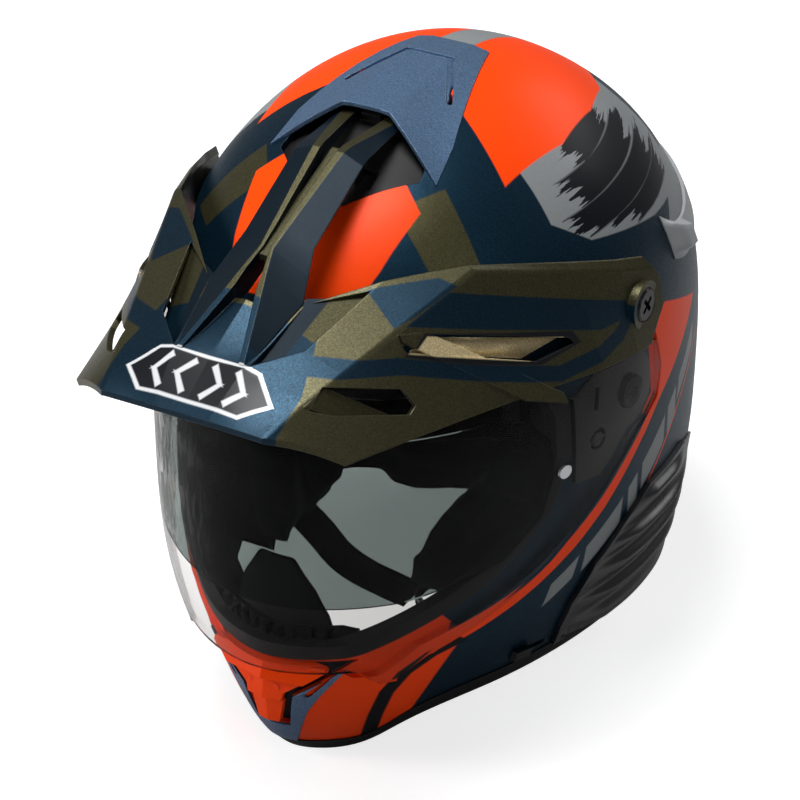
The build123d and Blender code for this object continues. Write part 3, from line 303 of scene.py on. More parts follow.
def cut_group(sides):
    """The area inside a number of straight cuts, each given by its inward direction and its place."""
    inputs = [("Vector", "Spot", None), ("Float", "Soft", 0.35)]
    for k in range(sides):
        inputs += [("Vector", "Inward %d" % k, (0, 0, 0)), ("Float", "Place %d" % k, 0.0)]
    group, group_in, group_out = effect("area_of_%d_cuts" % sides, inputs, [("Float", "Mask")])
    depth = None
    for k in range(sides):
        reach = reach_along(group, group_in["Spot"], group_in["Inward %d" % k])
        reach = calc(group, "SUBTRACT", reach, group_in["Place %d" % k])
        depth = reach if depth is None else calc(group, "MINIMUM", depth, reach)
    hard = calc(group, "MULTIPLY", group_in["Soft"], -1.0)
    feed(group, group_out, Mask=ranged(group, depth, hard, group_in["Soft"]))
    return group


cut_groups = {sides: cut_group(sides) for sides in (4, 6, 8)}


def masked_area(tree, spot, outline, look, soft=0.35):
    """One inside an area with straight sides and no hollow corner, seen along a direction."""
    along_look = Vector(look).normalized()
    corners = [Vector(p) for p in outline]
    middle = sum(corners, Vector()) / len(corners)
    sides = min(count for count in cut_groups if count >= len(corners))
    cuts = put(tree, "Group", {"node_tree": cut_groups[sides]}, Spot=spot, Soft=soft)
    for k in range(sides):
        first = min(k, len(corners) - 1)
        start, end = corners[first], corners[(first + 1) % len(corners)]
        inward = (end - start).cross(along_look).normalized()
        if inward.dot(middle - start) < 0:
            inward = -inward
        cuts.inputs["Inward %d" % k].default_value = inward
        cuts.inputs["Place %d" % k].default_value = inward.dot(start)
    return cuts.outputs[0]


def either(tree, *masks):
    """One where any of the masks is one."""
    total = masks[0]
    for mask in masks[1:]:
        total = calc(tree, "MAXIMUM", total, mask)
    return total


def ragged(tree, spot, amount, fine=(0.035, 0.012, 0.40)):
    """The point shaken along the helmet, for the torn ends of brush strokes."""
    shake = noise(tree, stretched(tree, spot, fine), 1.0, 3.0, Roughness=0.7)
    push = calc(tree, "MULTIPLY", calc(tree, "SUBTRACT", shake, 0.5), amount)
    shift = put(tree, "CombineXYZ", X=0.0, Y=push, Z=0.0).outputs[0]
    return put(tree, "VectorMath", {"operation": "ADD"}, _0=spot, _1=shift).outputs[0]


def sprayed(name, ground, flaked, areas, roughness=0.40, gloss=0.30):
    """Satin paint of a ground colour, with each area's colour over it, and the flake of each.

    areas gives, for each, its mask from the tree and the point, its colour and how flaked it is.
    """
    material, tree, shader = material_of(name, Specular_IOR_Level=gloss, Coat_Weight=0.03, Coat_Roughness=0.25)
    spot = mirrored_spot(tree)
    colour, sparkle = put(tree, "RGB").outputs[0], put(tree, "Value").outputs[0]
    colour.default_value, sparkle.default_value = ground, flaked
    for mask_of, over, over_flaked in areas:
        mask = mask_of(tree, spot)
        colour = tint(tree, mask, colour, over)
        sparkle = put(tree, "Mix", {"data_type": "FLOAT"}, _0=mask, _2=sparkle, _3=over_flaked).outputs[0]
    satin = use(tree, flake, Color=colour, Flake=sparkle, Roughness=roughness)
    # Edges lighter in patches, as rubbed wear and as a painted sheen
    rubbed_and_sheened = use(tree, edge, Color=satin["Color"], Rub=0.18, Normal=satin["Normal"], Radius=0.0007)
    feed(tree, shader.inputs, Base_Color=rubbed_and_sheened["Color"], Roughness=satin["Roughness"],
         Metallic=calc(tree, "MULTIPLY", sparkle, flake_metal), Normal=rubbed_and_sheened["Normal"])
    return material


def dress(material, *names):
    """Gives CAD pieces their finish."""
    for name in names:
        mesh = helmet_parts[name].data
        mesh.materials.clear()
        mesh.materials.append(material)
        for face in mesh.polygons:
            face.material_index = 0


def masked_stripe(tree, spot, line, width, look, soft=0.35):
    """One inside a stripe along a line of points, seen along a direction, of one width or one each."""
    along_look = Vector(look).normalized()
    line = [Vector(point) for point in line]
    widths = [width] * len(line) if isinstance(width, (int, float)) else width
    sides = []
    for k, wide in enumerate(widths):
        ahead = line[min(k + 1, len(line) - 1)] - line[max(k - 1, 0)]
        sides.append(ahead.cross(along_look).normalized() * wide / 2)
    masks = []
    for a, b, from_a, from_b in zip(line, line[1:], sides, sides[1:]):
        lap = (b - a).normalized() * soft * 2
        masks.append(masked_area(tree, spot, (a - lap - from_a, b + lap - from_b, b + lap + from_b, a - lap + from_a),
                                 look, soft))
    return either(tree, *masks)


from_side = (1, 0, 0)
from_top = (0, 0, 1)
from_front = (0, 1, 0)
side_plane, top_plane, front_plane = 110.0, 280.0, -110.0


def side_points(*points):
    """Points of a side view, (y, z), on the widest plane of the shell."""
    return [(side_plane, y, z) for y, z in points]


def top_points(*points):
    return [(x, y, top_plane) for x, y in points]


def front_points(*points):
    return [(x, front_plane, z) for x, z in points]


def area(corners, look):
    """The mask of an area, for a paint to place in its tree."""
    return lambda tree, spot: masked_area(tree, spot, corners, look)


def stripe(line, width, look, soft=0.35):
    return lambda tree, spot: masked_stripe(tree, spot, line, width, look, soft)


def only_where(test, mask_of):
    """The part of a mask that lies where a test of the point is one."""
    return lambda tree, spot: calc(tree, "MULTIPLY", mask_of(tree, spot), test(tree, spot))


# Orange either side of the crown's pale middle stripe, back to the spoiler
crown_panel = area(top_points((9, 18), (9, 126), (36, 120), (55, 98), (66, 68), (71.5, 30), (66, -14)), from_top)
crown_stripe = area(top_points((-9, 14), (-9, 150), (9, 150), (9, 14)), from_top)

# Pale grey on each side of the crown, with an open front corner, and round the back above the spoiler
side_panel = area(side_points((-8, 254), (0, 283), (40, 296), (100, 285), (118, 240), (112, 221), (62, 228),
                              (8, 241)), from_side)
rear_field = area(side_points((70, 216), (92, 229), (200, 236), (200, 190), (96, 192)), from_side)


def brush_marks(tree, spot):
    """Black brush strokes dragged back across the grey field, torn at both ends."""
    torn = ragged(tree, spot, 64.0)
    marks = [masked_area(tree, torn, side_points(*quad), from_side, 0.5) for quad in (
        ((26, 274), (74, 276), (70, 265), (30, 264)),
        ((12, 265), (88, 264.5), (84, 253), (18, 252.5)),
        ((2, 253), (96, 252), (94, 240), (10, 242)),
        ((30, 242), (102, 240), (98, 229.5), (40, 233)),
    )]
    return either(tree, *marks)


# Orange field under the peak, round the front of the top vent
hood_field = area(((-5, -44, 283), (30, -42, 280), (46, -52, 268), (38, -78, 253), (34, -98, 238), (-5, -101, 240)),
                  (0, -0.5, 0.8))

# Olive band that runs forward and down from the crown to the brow
brow_band = area(((34, -57, 274), (47, -35, 276), (76, -50, 243), (61, -68, 246)), (0.55, -0.45, 0.7))
temple_patch = area(side_points((30, 178), (33, 189), (45, 193.5), (87, 174), (31, 146)), from_side)

# Orange line under the shield's edge, wide at the chin and thin at the temple
jaw_stripe = stripe(side_points((-98, 66), (-76, 76.5), (-62, 83.5), (-49, 90.8), (-31, 102), (-13, 114.5),
                                (7, 130.3), (34, 151)), (11.5, 10, 9, 8, 7.4, 6.7, 6, 5), from_side)
side_pinline = stripe(side_points((92, 152), (56, 128), (22, 104), (4, 86)), 1.1, from_side, 0.2)


def before_ears(tree, spot):
    """One on the front half, so that an area seen from the front stays off the nape."""
    return calc(tree, "LESS_THAN", put(tree, "SeparateXYZ", Vector=spot).outputs[1], 0.0)


# Orange field of the chin, cut by a black curved line
chin_field = only_where(before_ears, area(front_points((-5, 84), (70, 84), (76, 67), (60, 38), (44, 8), (-5, 8)),
                                          from_front))
chin_swoosh = only_where(before_ears, stripe(front_points((76, 68), (66, 63), (56, 54), (48, 42), (41, 26), (33, 6)),
                                             5.2, from_front))


def side_bars(tree, spot):
    """Slanted pale bars in a row down the side of the jaw, each a little shorter than the last."""
    head, run, drop = Vector((84.0, 161.0)), Vector((-0.846, -0.533)), Vector((0.533, -0.846))
    bars = []
    for start, end, tall in ((0, 30, 9), (35, 47, 13), (51, 78, 12), (83, 92, 14), (97, 126, 11), (131, 149, 9)):
        quad = [head + run * start, head + run * end, head + run * (end + 9) + drop * tall,
                head + run * (start + 9) + drop * tall]
        bars.append(masked_area(tree, spot, side_points(*quad), from_side))
    return either(tree, *bars)


shell_paint = sprayed("shell_satin", navy, 0.85, [
    (rear_field, pale_grey, 0.12),
    (side_panel, pale_grey, 0.12),
    (brush_marks, ink_black, 0.2),
    (brow_band, olive, 0.8),
    (crown_panel, orange, 0.08),
    (crown_stripe, pale_grey, 0.12),
    (hood_field, orange, 0.08),
    (temple_patch, orange, 0.08),
    (chin_field, orange, 0.08),
    (jaw_stripe, orange, 0.08),
    (chin_swoosh, ink_black, 0.3),
    (side_bars, pale_grey, 0.12),
    (side_pinline, orange, 0.05),
], gloss=0.13)
dress(shell_paint, "outer_shell")

# Rubber trims: the beaded edge round the neck opening, which the helmet stands on, and the seal
# round the eye port. Both are pressed onto the shell's edge.
rubber_black = (0.006, 0.006, 0.007, 1.0)


def moulded(name, colour, roughness, pits=1500.0, depth=0.15, rub=0.12, **sockets):
    """Moulded plastic or rubber with its grain, and edges lighter in patches as rubbed wear and as a painted sheen.
    """
    material, tree, shader = material_of(name, **sockets)
    grained = use(tree, grain, Color=colour, Pits_per_metre=pits, Depth=depth, Roughness=roughness)
    rubbed_and_sheened = use(tree, edge, Color=grained["Color"], Rub=rub, Radius=0.0005, Normal=grained["Normal"],
                 Edge_color=(0.09, 0.09, 0.095, 1.0))
    feed(tree, shader.inputs, Base_Color=rubbed_and_sheened["Color"], Roughness=grained["Roughness"], Normal=rubbed_and_sheened["Normal"])
    return material


rubber = moulded("edge_rubber", rubber_black, 0.52, pits=2200.0, depth=0.10, Specular_IOR_Level=0.22)
dress(rubber, "base_trim", "eyeport_gasket")

# Impact liner: moulded from small dark foam beads that steam has fused, and glued inside the
# shell, with a second block behind the chin bar.
foam_black = (0.009, 0.009, 0.010)
beads_per_metre = 380.0
foam, foam_tree, foam_shader = material_of("bead_foam", Specular_IOR_Level=0.25, Roughness=0.68)
foam_spot = object_spot(foam_tree)
bead_edges = put(foam_tree, "TexVoronoi", {"feature": "DISTANCE_TO_EDGE"}, Vector=foam_spot, Scale=beads_per_metre)
bead_shade = put(foam_tree, "TexVoronoi", Vector=foam_spot, Scale=beads_per_metre).outputs["Color"]
bead_lift = put(foam_tree, "SeparateColor", Color=bead_shade).outputs[0]
bead_seam = ranged(foam_tree, bead_edges.outputs["Distance"], 0.0, 0.10)
bead_gain = calc(foam_tree, "MULTIPLY", around_one(foam_tree, bead_lift, 0.75, 0.5),
                 around_one(foam_tree, bead_seam, 0.6, 0.4))
feed(foam_tree, foam_shader.inputs, Base_Color=scaled(foam_tree, foam_black, bead_gain),
     Normal=bumped(foam_tree, bead_seam, 0.35, 0.0006))
dress(foam, "eps_liner", "chin_liner")

# Deck on the chin bar behind the seal, moulded black, with the ribbed air strip standing on it
# and the soft nose guard behind that.
satin_black = moulded("satin_black_plastic", (0.008, 0.008, 0.009, 1.0), 0.32, pits=1800.0, depth=0.05,
                      Specular_IOR_Level=0.30)
matt_black = moulded("matt_black_plastic", (0.009, 0.009, 0.010, 1.0), 0.50, pits=1300.0, depth=0.10,
                     Specular_IOR_Level=0.18)
dress(matt_black, "chin_deck")
dress(satin_black, "demist_strip")
dress(rubber, "breath_guard")

# Sun visor: smoke tinted, polished polycarbonate in one piece. It parks in a slot of the liner,
# and a black lever at the shell's edge swings it down.
smoke, smoke_tree, smoke_shader = material_of(
    "smoke_visor", Base_Color=(0.10, 0.10, 0.11, 1.0), Metallic=0.0, Transmission_Weight=0.85, IOR=1.45,
    Specular_IOR_Level=0.5)
smoke_smears = noise(smoke_tree, object_spot(smoke_tree), 12.0, 5.0)
feed(smoke_tree, smoke_shader.inputs, Roughness=ranged(smoke_tree, smoke_smears, 0.4, 0.8, 0.02, 0.09))
dress(smoke, "sun_visor")
dress(satin_black, "sun_visor_slider")

# Comfort pads: open-cell foam in a brushed knit cover, sewn with a corded seam and clicked into
# the liner. Each starts a little inside the space of its solid and is blown up as cloth.
knit_black = (0.011, 0.0115, 0.013)
cord_grey = (0.10, 0.105, 0.11)
cloth_frames = 20
cord_thick, cord_pitch = 0.0022, 0.004
shortest_loop, fewest_points = 8, 6


def knit_cover(name, colour, loops=620.0, nap=0.35):
    """Brushed knit: rows of small loops, a soft nap and a faint sheen at its edges."""
    material, tree, shader = material_of(name, Sheen_Weight=0.35, Sheen_Roughness=0.45, Specular_IOR_Level=0.15,
                                         Roughness=0.86)
    spot = object_spot(tree)
    rows = put(tree, "TexVoronoi", Vector=stretched(tree, spot, (1.0, 0.75, 1.35)), Scale=loops)
    row = ranged(tree, rows.outputs["Distance"], 0.0, 0.75, 1.25, 0.55)
    fuzz = noise(tree, spot, 190.0, 6.0, Roughness=0.75)
    patch = noise(tree, spot, 26.0, 3.0)
    shade = calc(tree, "MULTIPLY", row, around_one(tree, fuzz, 0.55, 0.9))
    shade = calc(tree, "MULTIPLY", shade, around_one(tree, patch, 0.7, 0.6))
    height = calc(tree, "ADD", calc(tree, "MULTIPLY", row, 0.6), calc(tree, "MULTIPLY", fuzz, nap))
    feed(tree, shader.inputs, Base_Color=scaled(tree, colour, shade), Normal=bumped(tree, height, 0.55, 0.0007))
    return material


def shown(name, mesh, material):
    """A mesh made into a piece of the scene with its finish."""
    piece = bpy.data.objects.new(name, mesh)
    mesh.materials.clear()
    mesh.materials.append(material)
    for face in mesh.polygons:
        face.use_smooth = True
    scene.collection.objects.link(piece)
    return piece


def settled(piece):
    """The piece with its modifiers worked into its mesh."""
    graph = bpy.context.evaluated_depsgraph_get()
    mesh = bpy.data.meshes.new_from_object(piece.evaluated_get(graph))
    piece.modifiers.clear()
    piece.data = mesh
    return piece


def blown_pad(name, solid, material, drawn=0.0022, cell=0.0042, most=0.0045, pressure=4.0):
    """A pad in the space of its CAD solid, its cover drawn in and then blown up by its foam."""
    mesh = helmet_parts[solid].data.copy()
    pad = shown(name, mesh, material)
    weld = bmesh.new()
    weld.from_mesh(mesh)
    bmesh.ops.remove_doubles(weld, verts=weld.verts, dist=1e-5)
    weld.to_mesh(mesh)
    weld.free()
    cells = pad.modifiers.new("cells", "REMESH")
    cells.mode = "VOXEL"
    cells.voxel_size = cell
    mesh = settled(pad).data
    rest = [point.co - point.normal * drawn for point in mesh.vertices]
    for point, place in zip(mesh.vertices, rest):
        point.co = place
    relax = pad.modifiers.new("relax", "SMOOTH")
    relax.factor = 0.5
    relax.iterations = 4
    mesh = settled(pad).data
    cloth = pad.modifiers.new("cover", "CLOTH")
    cloth.settings.use_pressure = True
    cloth.settings.uniform_pressure_force = pressure
    cloth.settings.effector_weights.gravity = 0.0
    cloth.settings.tension_stiffness = 12.0
    cloth.settings.bending_stiffness = 0.8
    cloth.point_cache.frame_start = 1
    cloth.point_cache.frame_end = cloth_frames
    for frame_number in range(1, cloth_frames + 1):
        scene.frame_set(frame_number)
    before = [point.co.copy() for point in mesh.vertices]
    settled(pad)
    for point, start in zip(pad.data.vertices, before):
        step = point.co - start
        if step.length > most:
            point.co = start + step.normalized() * most
    scene.frame_set(1)
    finer = pad.modifiers.new("finer", "SUBSURF")
    finer.levels = 1
    settled(pad)
    for face in pad.data.polygons:
        face.use_smooth = True
    if not pad.data.materials:
        pad.data.materials.append(material)
    return pad


def sewn_line(pad, point, across):
    """The loops in which a plane cuts the pad's cover, each as points in order."""
    cut = bmesh.new()
    cut.from_mesh(pad.data)
    made = bmesh.ops.bisect_plane(cut, geom=cut.verts[:] + cut.edges[:] + cut.faces[:], dist=1e-6,
                                  plane_co=point, plane_no=across)
    edges = [g for g in made["geom_cut"] if isinstance(g, bmesh.types.BMEdge)]
    unused = {}
    for line in edges:
        for a, b in (line.verts, reversed(line.verts)):
            unused.setdefault(a, []).append(b)
    loops = []
    while unused:
        here = next(iter(unused))
        walk = [here]
        while True:
            onward = [v for v in unused.pop(here, []) if v in unused]
            if not onward:
                break
            here = onward[0]
            walk.append(here)
        if len(walk) > shortest_loop:
            loops.append([v.co.copy() for v in walk])
    cut.free()
    return loops


def drawn_valley(pad, point, across, deep=0.0016, wide=0.0035):
    """The cover pulled in along a sewn line, where a plane cuts the pad."""
    normal = Vector(across).normalized()
    outward = [spot.normal.copy() for spot in pad.data.vertices]
    for spot, out in zip(pad.data.vertices, outward):
        away = (spot.co - Vector(point)).dot(normal)
        spot.co -= out * deep * math.exp(-((away / wide) ** 2))


def even_points(line, pitch, closed=True):
    """Points at an even pitch along a line of points."""
    run = line + line[:1] if closed else line
    out, carried = [], 0.0
    for a, b in zip(run, run[1:]):
        length = (b - a).length
        while carried < length:
            out.append(a.lerp(b, carried / length) if length else a.copy())
            carried += pitch
        carried -= length
    return out


def corded_seam(name, pad, point, across, thick, material):
    """A cord in the cover along a sewn line."""
    curve = bpy.data.curves.new(name, "CURVE")
    curve.dimensions = "3D"
    curve.bevel_depth = thick / 2
    curve.bevel_resolution = 2
    for loop in sewn_line(pad, point, across):
        points = even_points(loop, cord_pitch)
        if len(points) < fewest_points:
            continue
        spline = curve.splines.new("NURBS")
        spline.points.add(len(points) - 1)
        for made, place in zip(spline.points, points):
            made.co = (*place, 1.0)
        spline.use_cyclic_u = True
        spline.order_u = 3
    curve.materials.append(material)
    cord = bpy.data.objects.new(name, curve)
    scene.collection.objects.link(cord)
    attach(cord, "helmet")


knit = knit_cover("brushed_knit", knit_black)
seam_cord = knit_cover("seam_cord", cord_grey, loops=1500.0, nap=0.1)

pad_seams = {
    "cheek_pad_left": (((0.060, -0.030, 0.100), (0.35, 1.0, 0.0)), ((0.060, 0.030, 0.100), (0.0, 1.0, 0.0))),
    "cheek_pad_right": (((-0.060, -0.030, 0.100), (-0.35, 1.0, 0.0)), ((-0.060, 0.030, 0.100), (0.0, 1.0, 0.0))),
    "crown_pad": (((0.0, 0.020, 0.240), (0.0, 1.0, 0.0)), ((0.0, 0.0, 0.240), (1.0, 0.0, 0.0))),
    "neck_roll": (((0.0, 0.100, 0.029), (0.0, 0.0, 1.0)),),
}
for solid, seams in pad_seams.items():
    pad = blown_pad(solid + "_cover", solid, knit)
    for point, across in seams:
        drawn_valley(pad, point, across)
    pad.data.update()
    for count, (point, across) in enumerate(seams):
        corded_seam("%s_seam_%d" % (solid, count + 1), pad, point, across, cord_thick, seam_cord)
    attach(pad, "helmet")
    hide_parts(solid)

# Sun peak: moulded in one piece and sprayed olive with navy bands, hung from two bosses on the
# shell and held by slotted screws. Thin plates in its slots are painted bright bronze, a painted highlight.
screw_black = moulded("screw_black", (0.006, 0.006, 0.007, 1.0), 0.28, pits=900.0, depth=0.05, rub=0.2,
                      Specular_IOR_Level=0.35)
dress(screw_black, "peak_screw_left", "peak_screw_right")
dress(matt_black, "peak_boss_left", "peak_boss_right")

# Bright bronze: a painted highlight of the lit olive facets in the slots
bronze_highlight = (0.66, 0.53, 0.29, 1.0)
badge_white = (0.62, 0.63, 0.64, 1.0)
# Navy darkened to a painted shade, for the steep sides of the rails
rail_shadow = (0.0018, 0.0090, 0.0165, 1.0)
rail_steep_from = 0.22
wing_outward = (0.841, -0.354, 0.409)
wing_face_from = 184.0


def together(*masks_of):
    """One where any of these masks is one."""
    return lambda tree, spot: either(tree, *(mask_of(tree, spot) for mask_of in masks_of))


# Navy band along each wing: a patch on the ridge, and a wide band from there to the screw
wing_band = together(
    area(top_points((45, -101), (68, -78), (76, -76), (68, -99), (63.5, -109)), from_top),
    area(side_points((-104.5, 248), (-80.6, 254.6), (4, 216.5), (8, 208), (-14, 210)), from_side))

# Navy stripe below the upper slot, turned up behind it
slot_stripe = stripe(side_points((-148, 244), (-116, 235), (-83, 219), (-44, 202), (-19, 200.5), (-4, 203),
                                 (12, 214)), 7.0, from_side)


def near_side_face(tree, spot):
    """One on the outer side of the wing and on the vanes that hang close behind it."""
    return calc(tree, "GREATER_THAN", reach_along(tree, spot, wing_outward), wing_face_from)


# The upper slot and the rim round it painted black as a painted shadow of the recess, and the vane's face inside it
# painted bright bronze as a painted highlight of its lit facet
slot_rim_painted_shadow = only_where(near_side_face, area(side_points((-112.5, 237.5), (-98.5, 243), (-30, 216.5), (-27.5, 210),
                                                       (-52, 209.5), (-86, 224)), from_side))
vane_face_highlight = only_where(near_side_face, area(side_points((-109.5, 237.8), (-98.2, 241.4), (-36, 216), (-57, 213.5)),
                                            from_side))
nose_field = area(top_points((-3, -190), (46, -190), (46, -158), (38, -130), (-3, -130)), from_top)


def rail_sides_painted_shade(tree, spot):
    """The steep sides of the two rails, sprayed navy and darkened there to a painted shade."""
    slope = put(tree, "SeparateXYZ", Vector=put(tree, "TexCoord").outputs["Normal"]).outputs
    steep = calc(tree, "GREATER_THAN", calc(tree, "ABSOLUTE", slope[0]), rail_steep_from)
    zone = masked_area(tree, spot, top_points((-3, -150), (26, -150), (42, -60), (42, -10), (-3, -10)), from_top)
    return calc(tree, "MULTIPLY", steep, zone)


# A bare six-sided badge on the nose: pale edge, black field and two pale chevrons
badge_plate = area(top_points((-38, -168), (-26, -178.5), (26, -178.5), (38, -168), (26, -157.5), (-26, -157.5)),
                   from_top)
badge_field = area(top_points((-35.5, -168), (-25, -177), (25, -177), (35.5, -168), (25, -159), (-25, -159)),
                   from_top)
badge_chevrons = together(*(stripe(top_points((x, -161.5), (x + 6, -168), (x, -174.5)), 2.8, from_top)
                            for x in (5, 17)))

peak_paint = sprayed("peak_satin", olive, 0.85, [
    (wing_band, navy, 0.85),
    (slot_stripe, navy, 0.85),
    (nose_field, navy, 0.85),
    (rail_sides_painted_shade, rail_shadow, 0.6),
    (slot_rim_painted_shadow, ink_black, 0.2),
    (vane_face_highlight, bronze_highlight, 0.6),
    (badge_plate, badge_white, 0.1),
    (badge_field, ink_black, 0.2),
    (badge_chevrons, badge_white, 0.1),
], roughness=0.37)
dress(peak_paint, "peak")

# Behind the hole of each upper slot a thin plate closes the peak, as long as the slot, painted bright bronze as a
# painted highlight of a lit facet
bronze_highlight_satin = sprayed("bronze_highlight_satin", bronze_highlight, 0.6, [], roughness=0.34)
plate_corners = ((74.2, -98.0, 241.2), (105.5, -37.0, 216.0), (98.9, -58.8, 215.2), (71.3, -108.0, 237.9))
plate_inset = Vector(wing_outward) * 2.2
plate_front, plate_back = 1.0, 1.4
for side, solid in ((1, "left"), (-1, "right")):
    plate = bmesh.new()
    layers = [[plate.verts.new(Vector((side * p.x, p.y, p.z)) / 1000) for p in
               (Vector(corner) - plate_inset * depth for corner in plate_corners)]
              for depth in (plate_front, plate_back)]
    for layer in layers:
        plate.faces.new(layer)
    for k in range(4):
        plate.faces.new((layers[0][k], layers[0][k - 1], layers[1][k - 1], layers[1][k]))
    bmesh.ops.recalc_face_normals(plate, faces=plate.faces[:])
    bronze_highlight_plate = shown("slot_highlight_plate_" + solid, mesh_of("slot_highlight_plate_" + solid, plate), bronze_highlight_satin)
    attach(bronze_highlight_plate, "helmet")

# Clear face shield: injection moulded polycarbonate, hard coated, held by two pivot discs. The
# anti-fog lens sits inside it on two plated pins, and a black pivot plate is screwed on below.
light_through = 0.6


def clear_plastic(name, colour, rough_low, rough_high, smear_scale=9.0):
    """Polished clear plastic with faint wiping smears; light passes through it to what it covers."""
    material, tree, shader = material_of(name, Base_Color=colour, Metallic=0.0, Transmission_Weight=1.0,
                                         IOR=1.13, Specular_IOR_Level=0.50)
    smear = noise(tree, stretched(tree, object_spot(tree), (1.0, 0.4, 3.0)), smear_scale, 6.0, Roughness=0.6)
    shade = put(tree, "LightPath").outputs["Is Shadow Ray"]
    feed(tree, shader.inputs, Roughness=ranged(tree, smear, 0.45, 0.8, rough_low, rough_high),
         Alpha=calc(tree, "SUBTRACT", 1.0, calc(tree, "MULTIPLY", shade, light_through)))
    return material


dress(clear_plastic("clear_shield_plastic", (0.74, 0.73, 0.72, 1.0), 0.0, 0.02), "face_shield")
dress(clear_plastic("fog_lens_plastic", (0.21, 0.255, 0.245, 1.0), 0.0, 0.03, smear_scale=15.0), "insert_lens")
dress(satin_black, "shield_hubs", "shield_base_left", "shield_base_right")


def plated_steel(name, colour, roughness):
    """Plated steel with fine turning lines and a few dull spots."""
    material, tree, shader = material_of(name, Metallic=1.0)
    spot = object_spot(tree)
    lines = noise(tree, stretched(tree, spot, (1.0, 8.0, 1.0)), 420.0, 2.0)
    spots = noise(tree, spot, 120.0, 4.0)
    feed(tree, shader.inputs, Roughness=ranged(tree, spots, 0.4, 0.75, roughness, roughness + 0.18),
         Base_Color=scaled(tree, colour, around_one(tree, lines, 0.85, 0.3)),
         Normal=bumped(tree, lines, 0.06, 0.0002))
    return material


steel = plated_steel("plated_steel", (0.62, 0.63, 0.65), 0.22)
dress(steel, "insert_pins", "strap_anchors")

# Top vent: a black tray let into the shell, a sprayed V cover over it and a slider between. The
# chin vent has a black grille under a frame of the same blue.
vent_blue = (0.095, 0.165, 0.275, 1.0)
vent_paint = sprayed("vent_satin", vent_blue, 0.75, [], roughness=0.36)
dress(vent_paint, "top_vent_cover", "chin_vent_frame")
dress(matt_black, "intake_tray", "chin_vent_grille")
dress(satin_black, "top_vent_slider")

# Chin vent cover: moulded plastic, sprayed orange. It slides down the chin between the arms of
# the V frame.
chin_paint = sprayed("chin_satin_orange", orange, 0.10, [], roughness=0.40, gloss=0.13)
dress(chin_paint, "chin_vent_cover")

# Side skirts and rear spoiler: thin moulded covers that follow the shell's skin. The skirt is
# pressed in five folds that die out rearward. The spoiler lies close to the skin but for its
# middle, where it lets the air out below it, and a raised pad at each tip.
skin_reach = 0.09
shell_mesh = helmet_parts["outer_shell"].data
shell_skin = BVHTree.FromPolygons([v.co.copy() for v in shell_mesh.vertices],
                                  [tuple(face.vertices) for face in shell_mesh.polygons])


def skin_at(start, aim):
    """The first point of the shell's skin from a place outside it, and the way out from the skin."""
    place, out, _, _ = shell_skin.ray_cast(Vector(start), Vector(aim))
    if place is None:
        place, out, _, _ = shell_skin.find_nearest(Vector(start) + Vector(aim) * skin_reach)
    return place, out if out.dot(Vector(aim)) < 0 else -out


def smooth_step(value):
    """Rises from 0 to 1 with a soft start and end."""
    value = min(max(value, 0.0), 1.0)
    return value * value * (3 - 2 * value)


def along_points(points, share):
    """A point at a share of the way through a row of points, with straight runs between them."""
    spot = share * (len(points) - 1)
    first = min(int(spot), len(points) - 2)
    return Vector(points[first]).lerp(Vector(points[first + 1]), spot - first)


def evened(grid, passes=8):
    """A grid of vectors with the facets of the skin smoothed out of its inside; its rim is kept."""
    for _ in range(passes):
        evener = [line[:] for line in grid]
        for i in range(1, len(grid) - 1):
            for j in range(1, len(grid[0]) - 1):
                around = grid[i - 1][j] + grid[i + 1][j] + grid[i][j - 1] + grid[i][j + 1]
                evener[i][j] = (grid[i][j] * 2 + around) / 6
        grid = evener
    return grid


def skin_cover(name, columns, rows, base_of, rise_of, under=0.0001):
    """A closed cover on the skin: base_of(u, v) gives skin and way out, rise_of(u, v) its height."""
    base = [[base_of(i / columns, j / rows) for j in range(rows + 1)] for i in range(columns + 1)]
    places = evened([[place for place, _ in line] for line in base])
    ways = evened([[out for _, out in line] for line in base])
    cover = bmesh.new()
    outer, inner = [], []
    for i in range(columns + 1):
        top, low = [], []
        for j in range(rows + 1):
            place, out = places[i][j], ways[i][j].normalized()
            top.append(cover.verts.new(place + out * rise_of(i / columns, j / rows)))
            low.append(cover.verts.new(place + out * under))
        outer.append(top)
        inner.append(low)
    for i in range(columns):
        for j in range(rows):
            cover.faces.new((outer[i][j], outer[i + 1][j], outer[i + 1][j + 1], outer[i][j + 1]))
            cover.faces.new((inner[i][j], inner[i][j + 1], inner[i + 1][j + 1], inner[i + 1][j]))
    rim = [(i, 0) for i in range(columns)] + [(columns, j) for j in range(rows)]
    rim += [(i, rows) for i in range(columns, 0, -1)] + [(0, j) for j in range(rows, 0, -1)]
    for (a, b), (c, d) in zip(rim, rim[1:] + rim[:1]):
        cover.faces.new((outer[a][b], inner[a][b], inner[c][d], outer[c][d]))
    bmesh.ops.recalc_face_normals(cover, faces=cover.faces[:])
    return mesh_of(name, cover)


skirt_front = [(-31, 26), (-31, 50), (-28, 64), (-17, 82), (4, 97), (22, 106)]
skirt_rear = [(118, 27), (118, 42), (114, 58), (106, 74), (92, 90), (62, 104)]
fold_lines = (0.0, 0.22, 0.40, 0.57, 0.70, 0.96)
skirt_low, skirt_fold_rise, skirt_lip = 0.0014, 0.0042, 0.0012
fold_roll_from = 0.74
fold_die_from, fold_die_end, fold_start = 0.50, 0.95, 0.20
skirt_columns, skirt_rows = 64, 120
ray_start = 0.2


def skirt_base(side):
    def base(u, v):
        y, z = along_points(skirt_front, v).lerp(along_points(skirt_rear, v), u)
        return skin_at((side * ray_start, y / 1000, z / 1000), (-side, 0, 0))
    return base


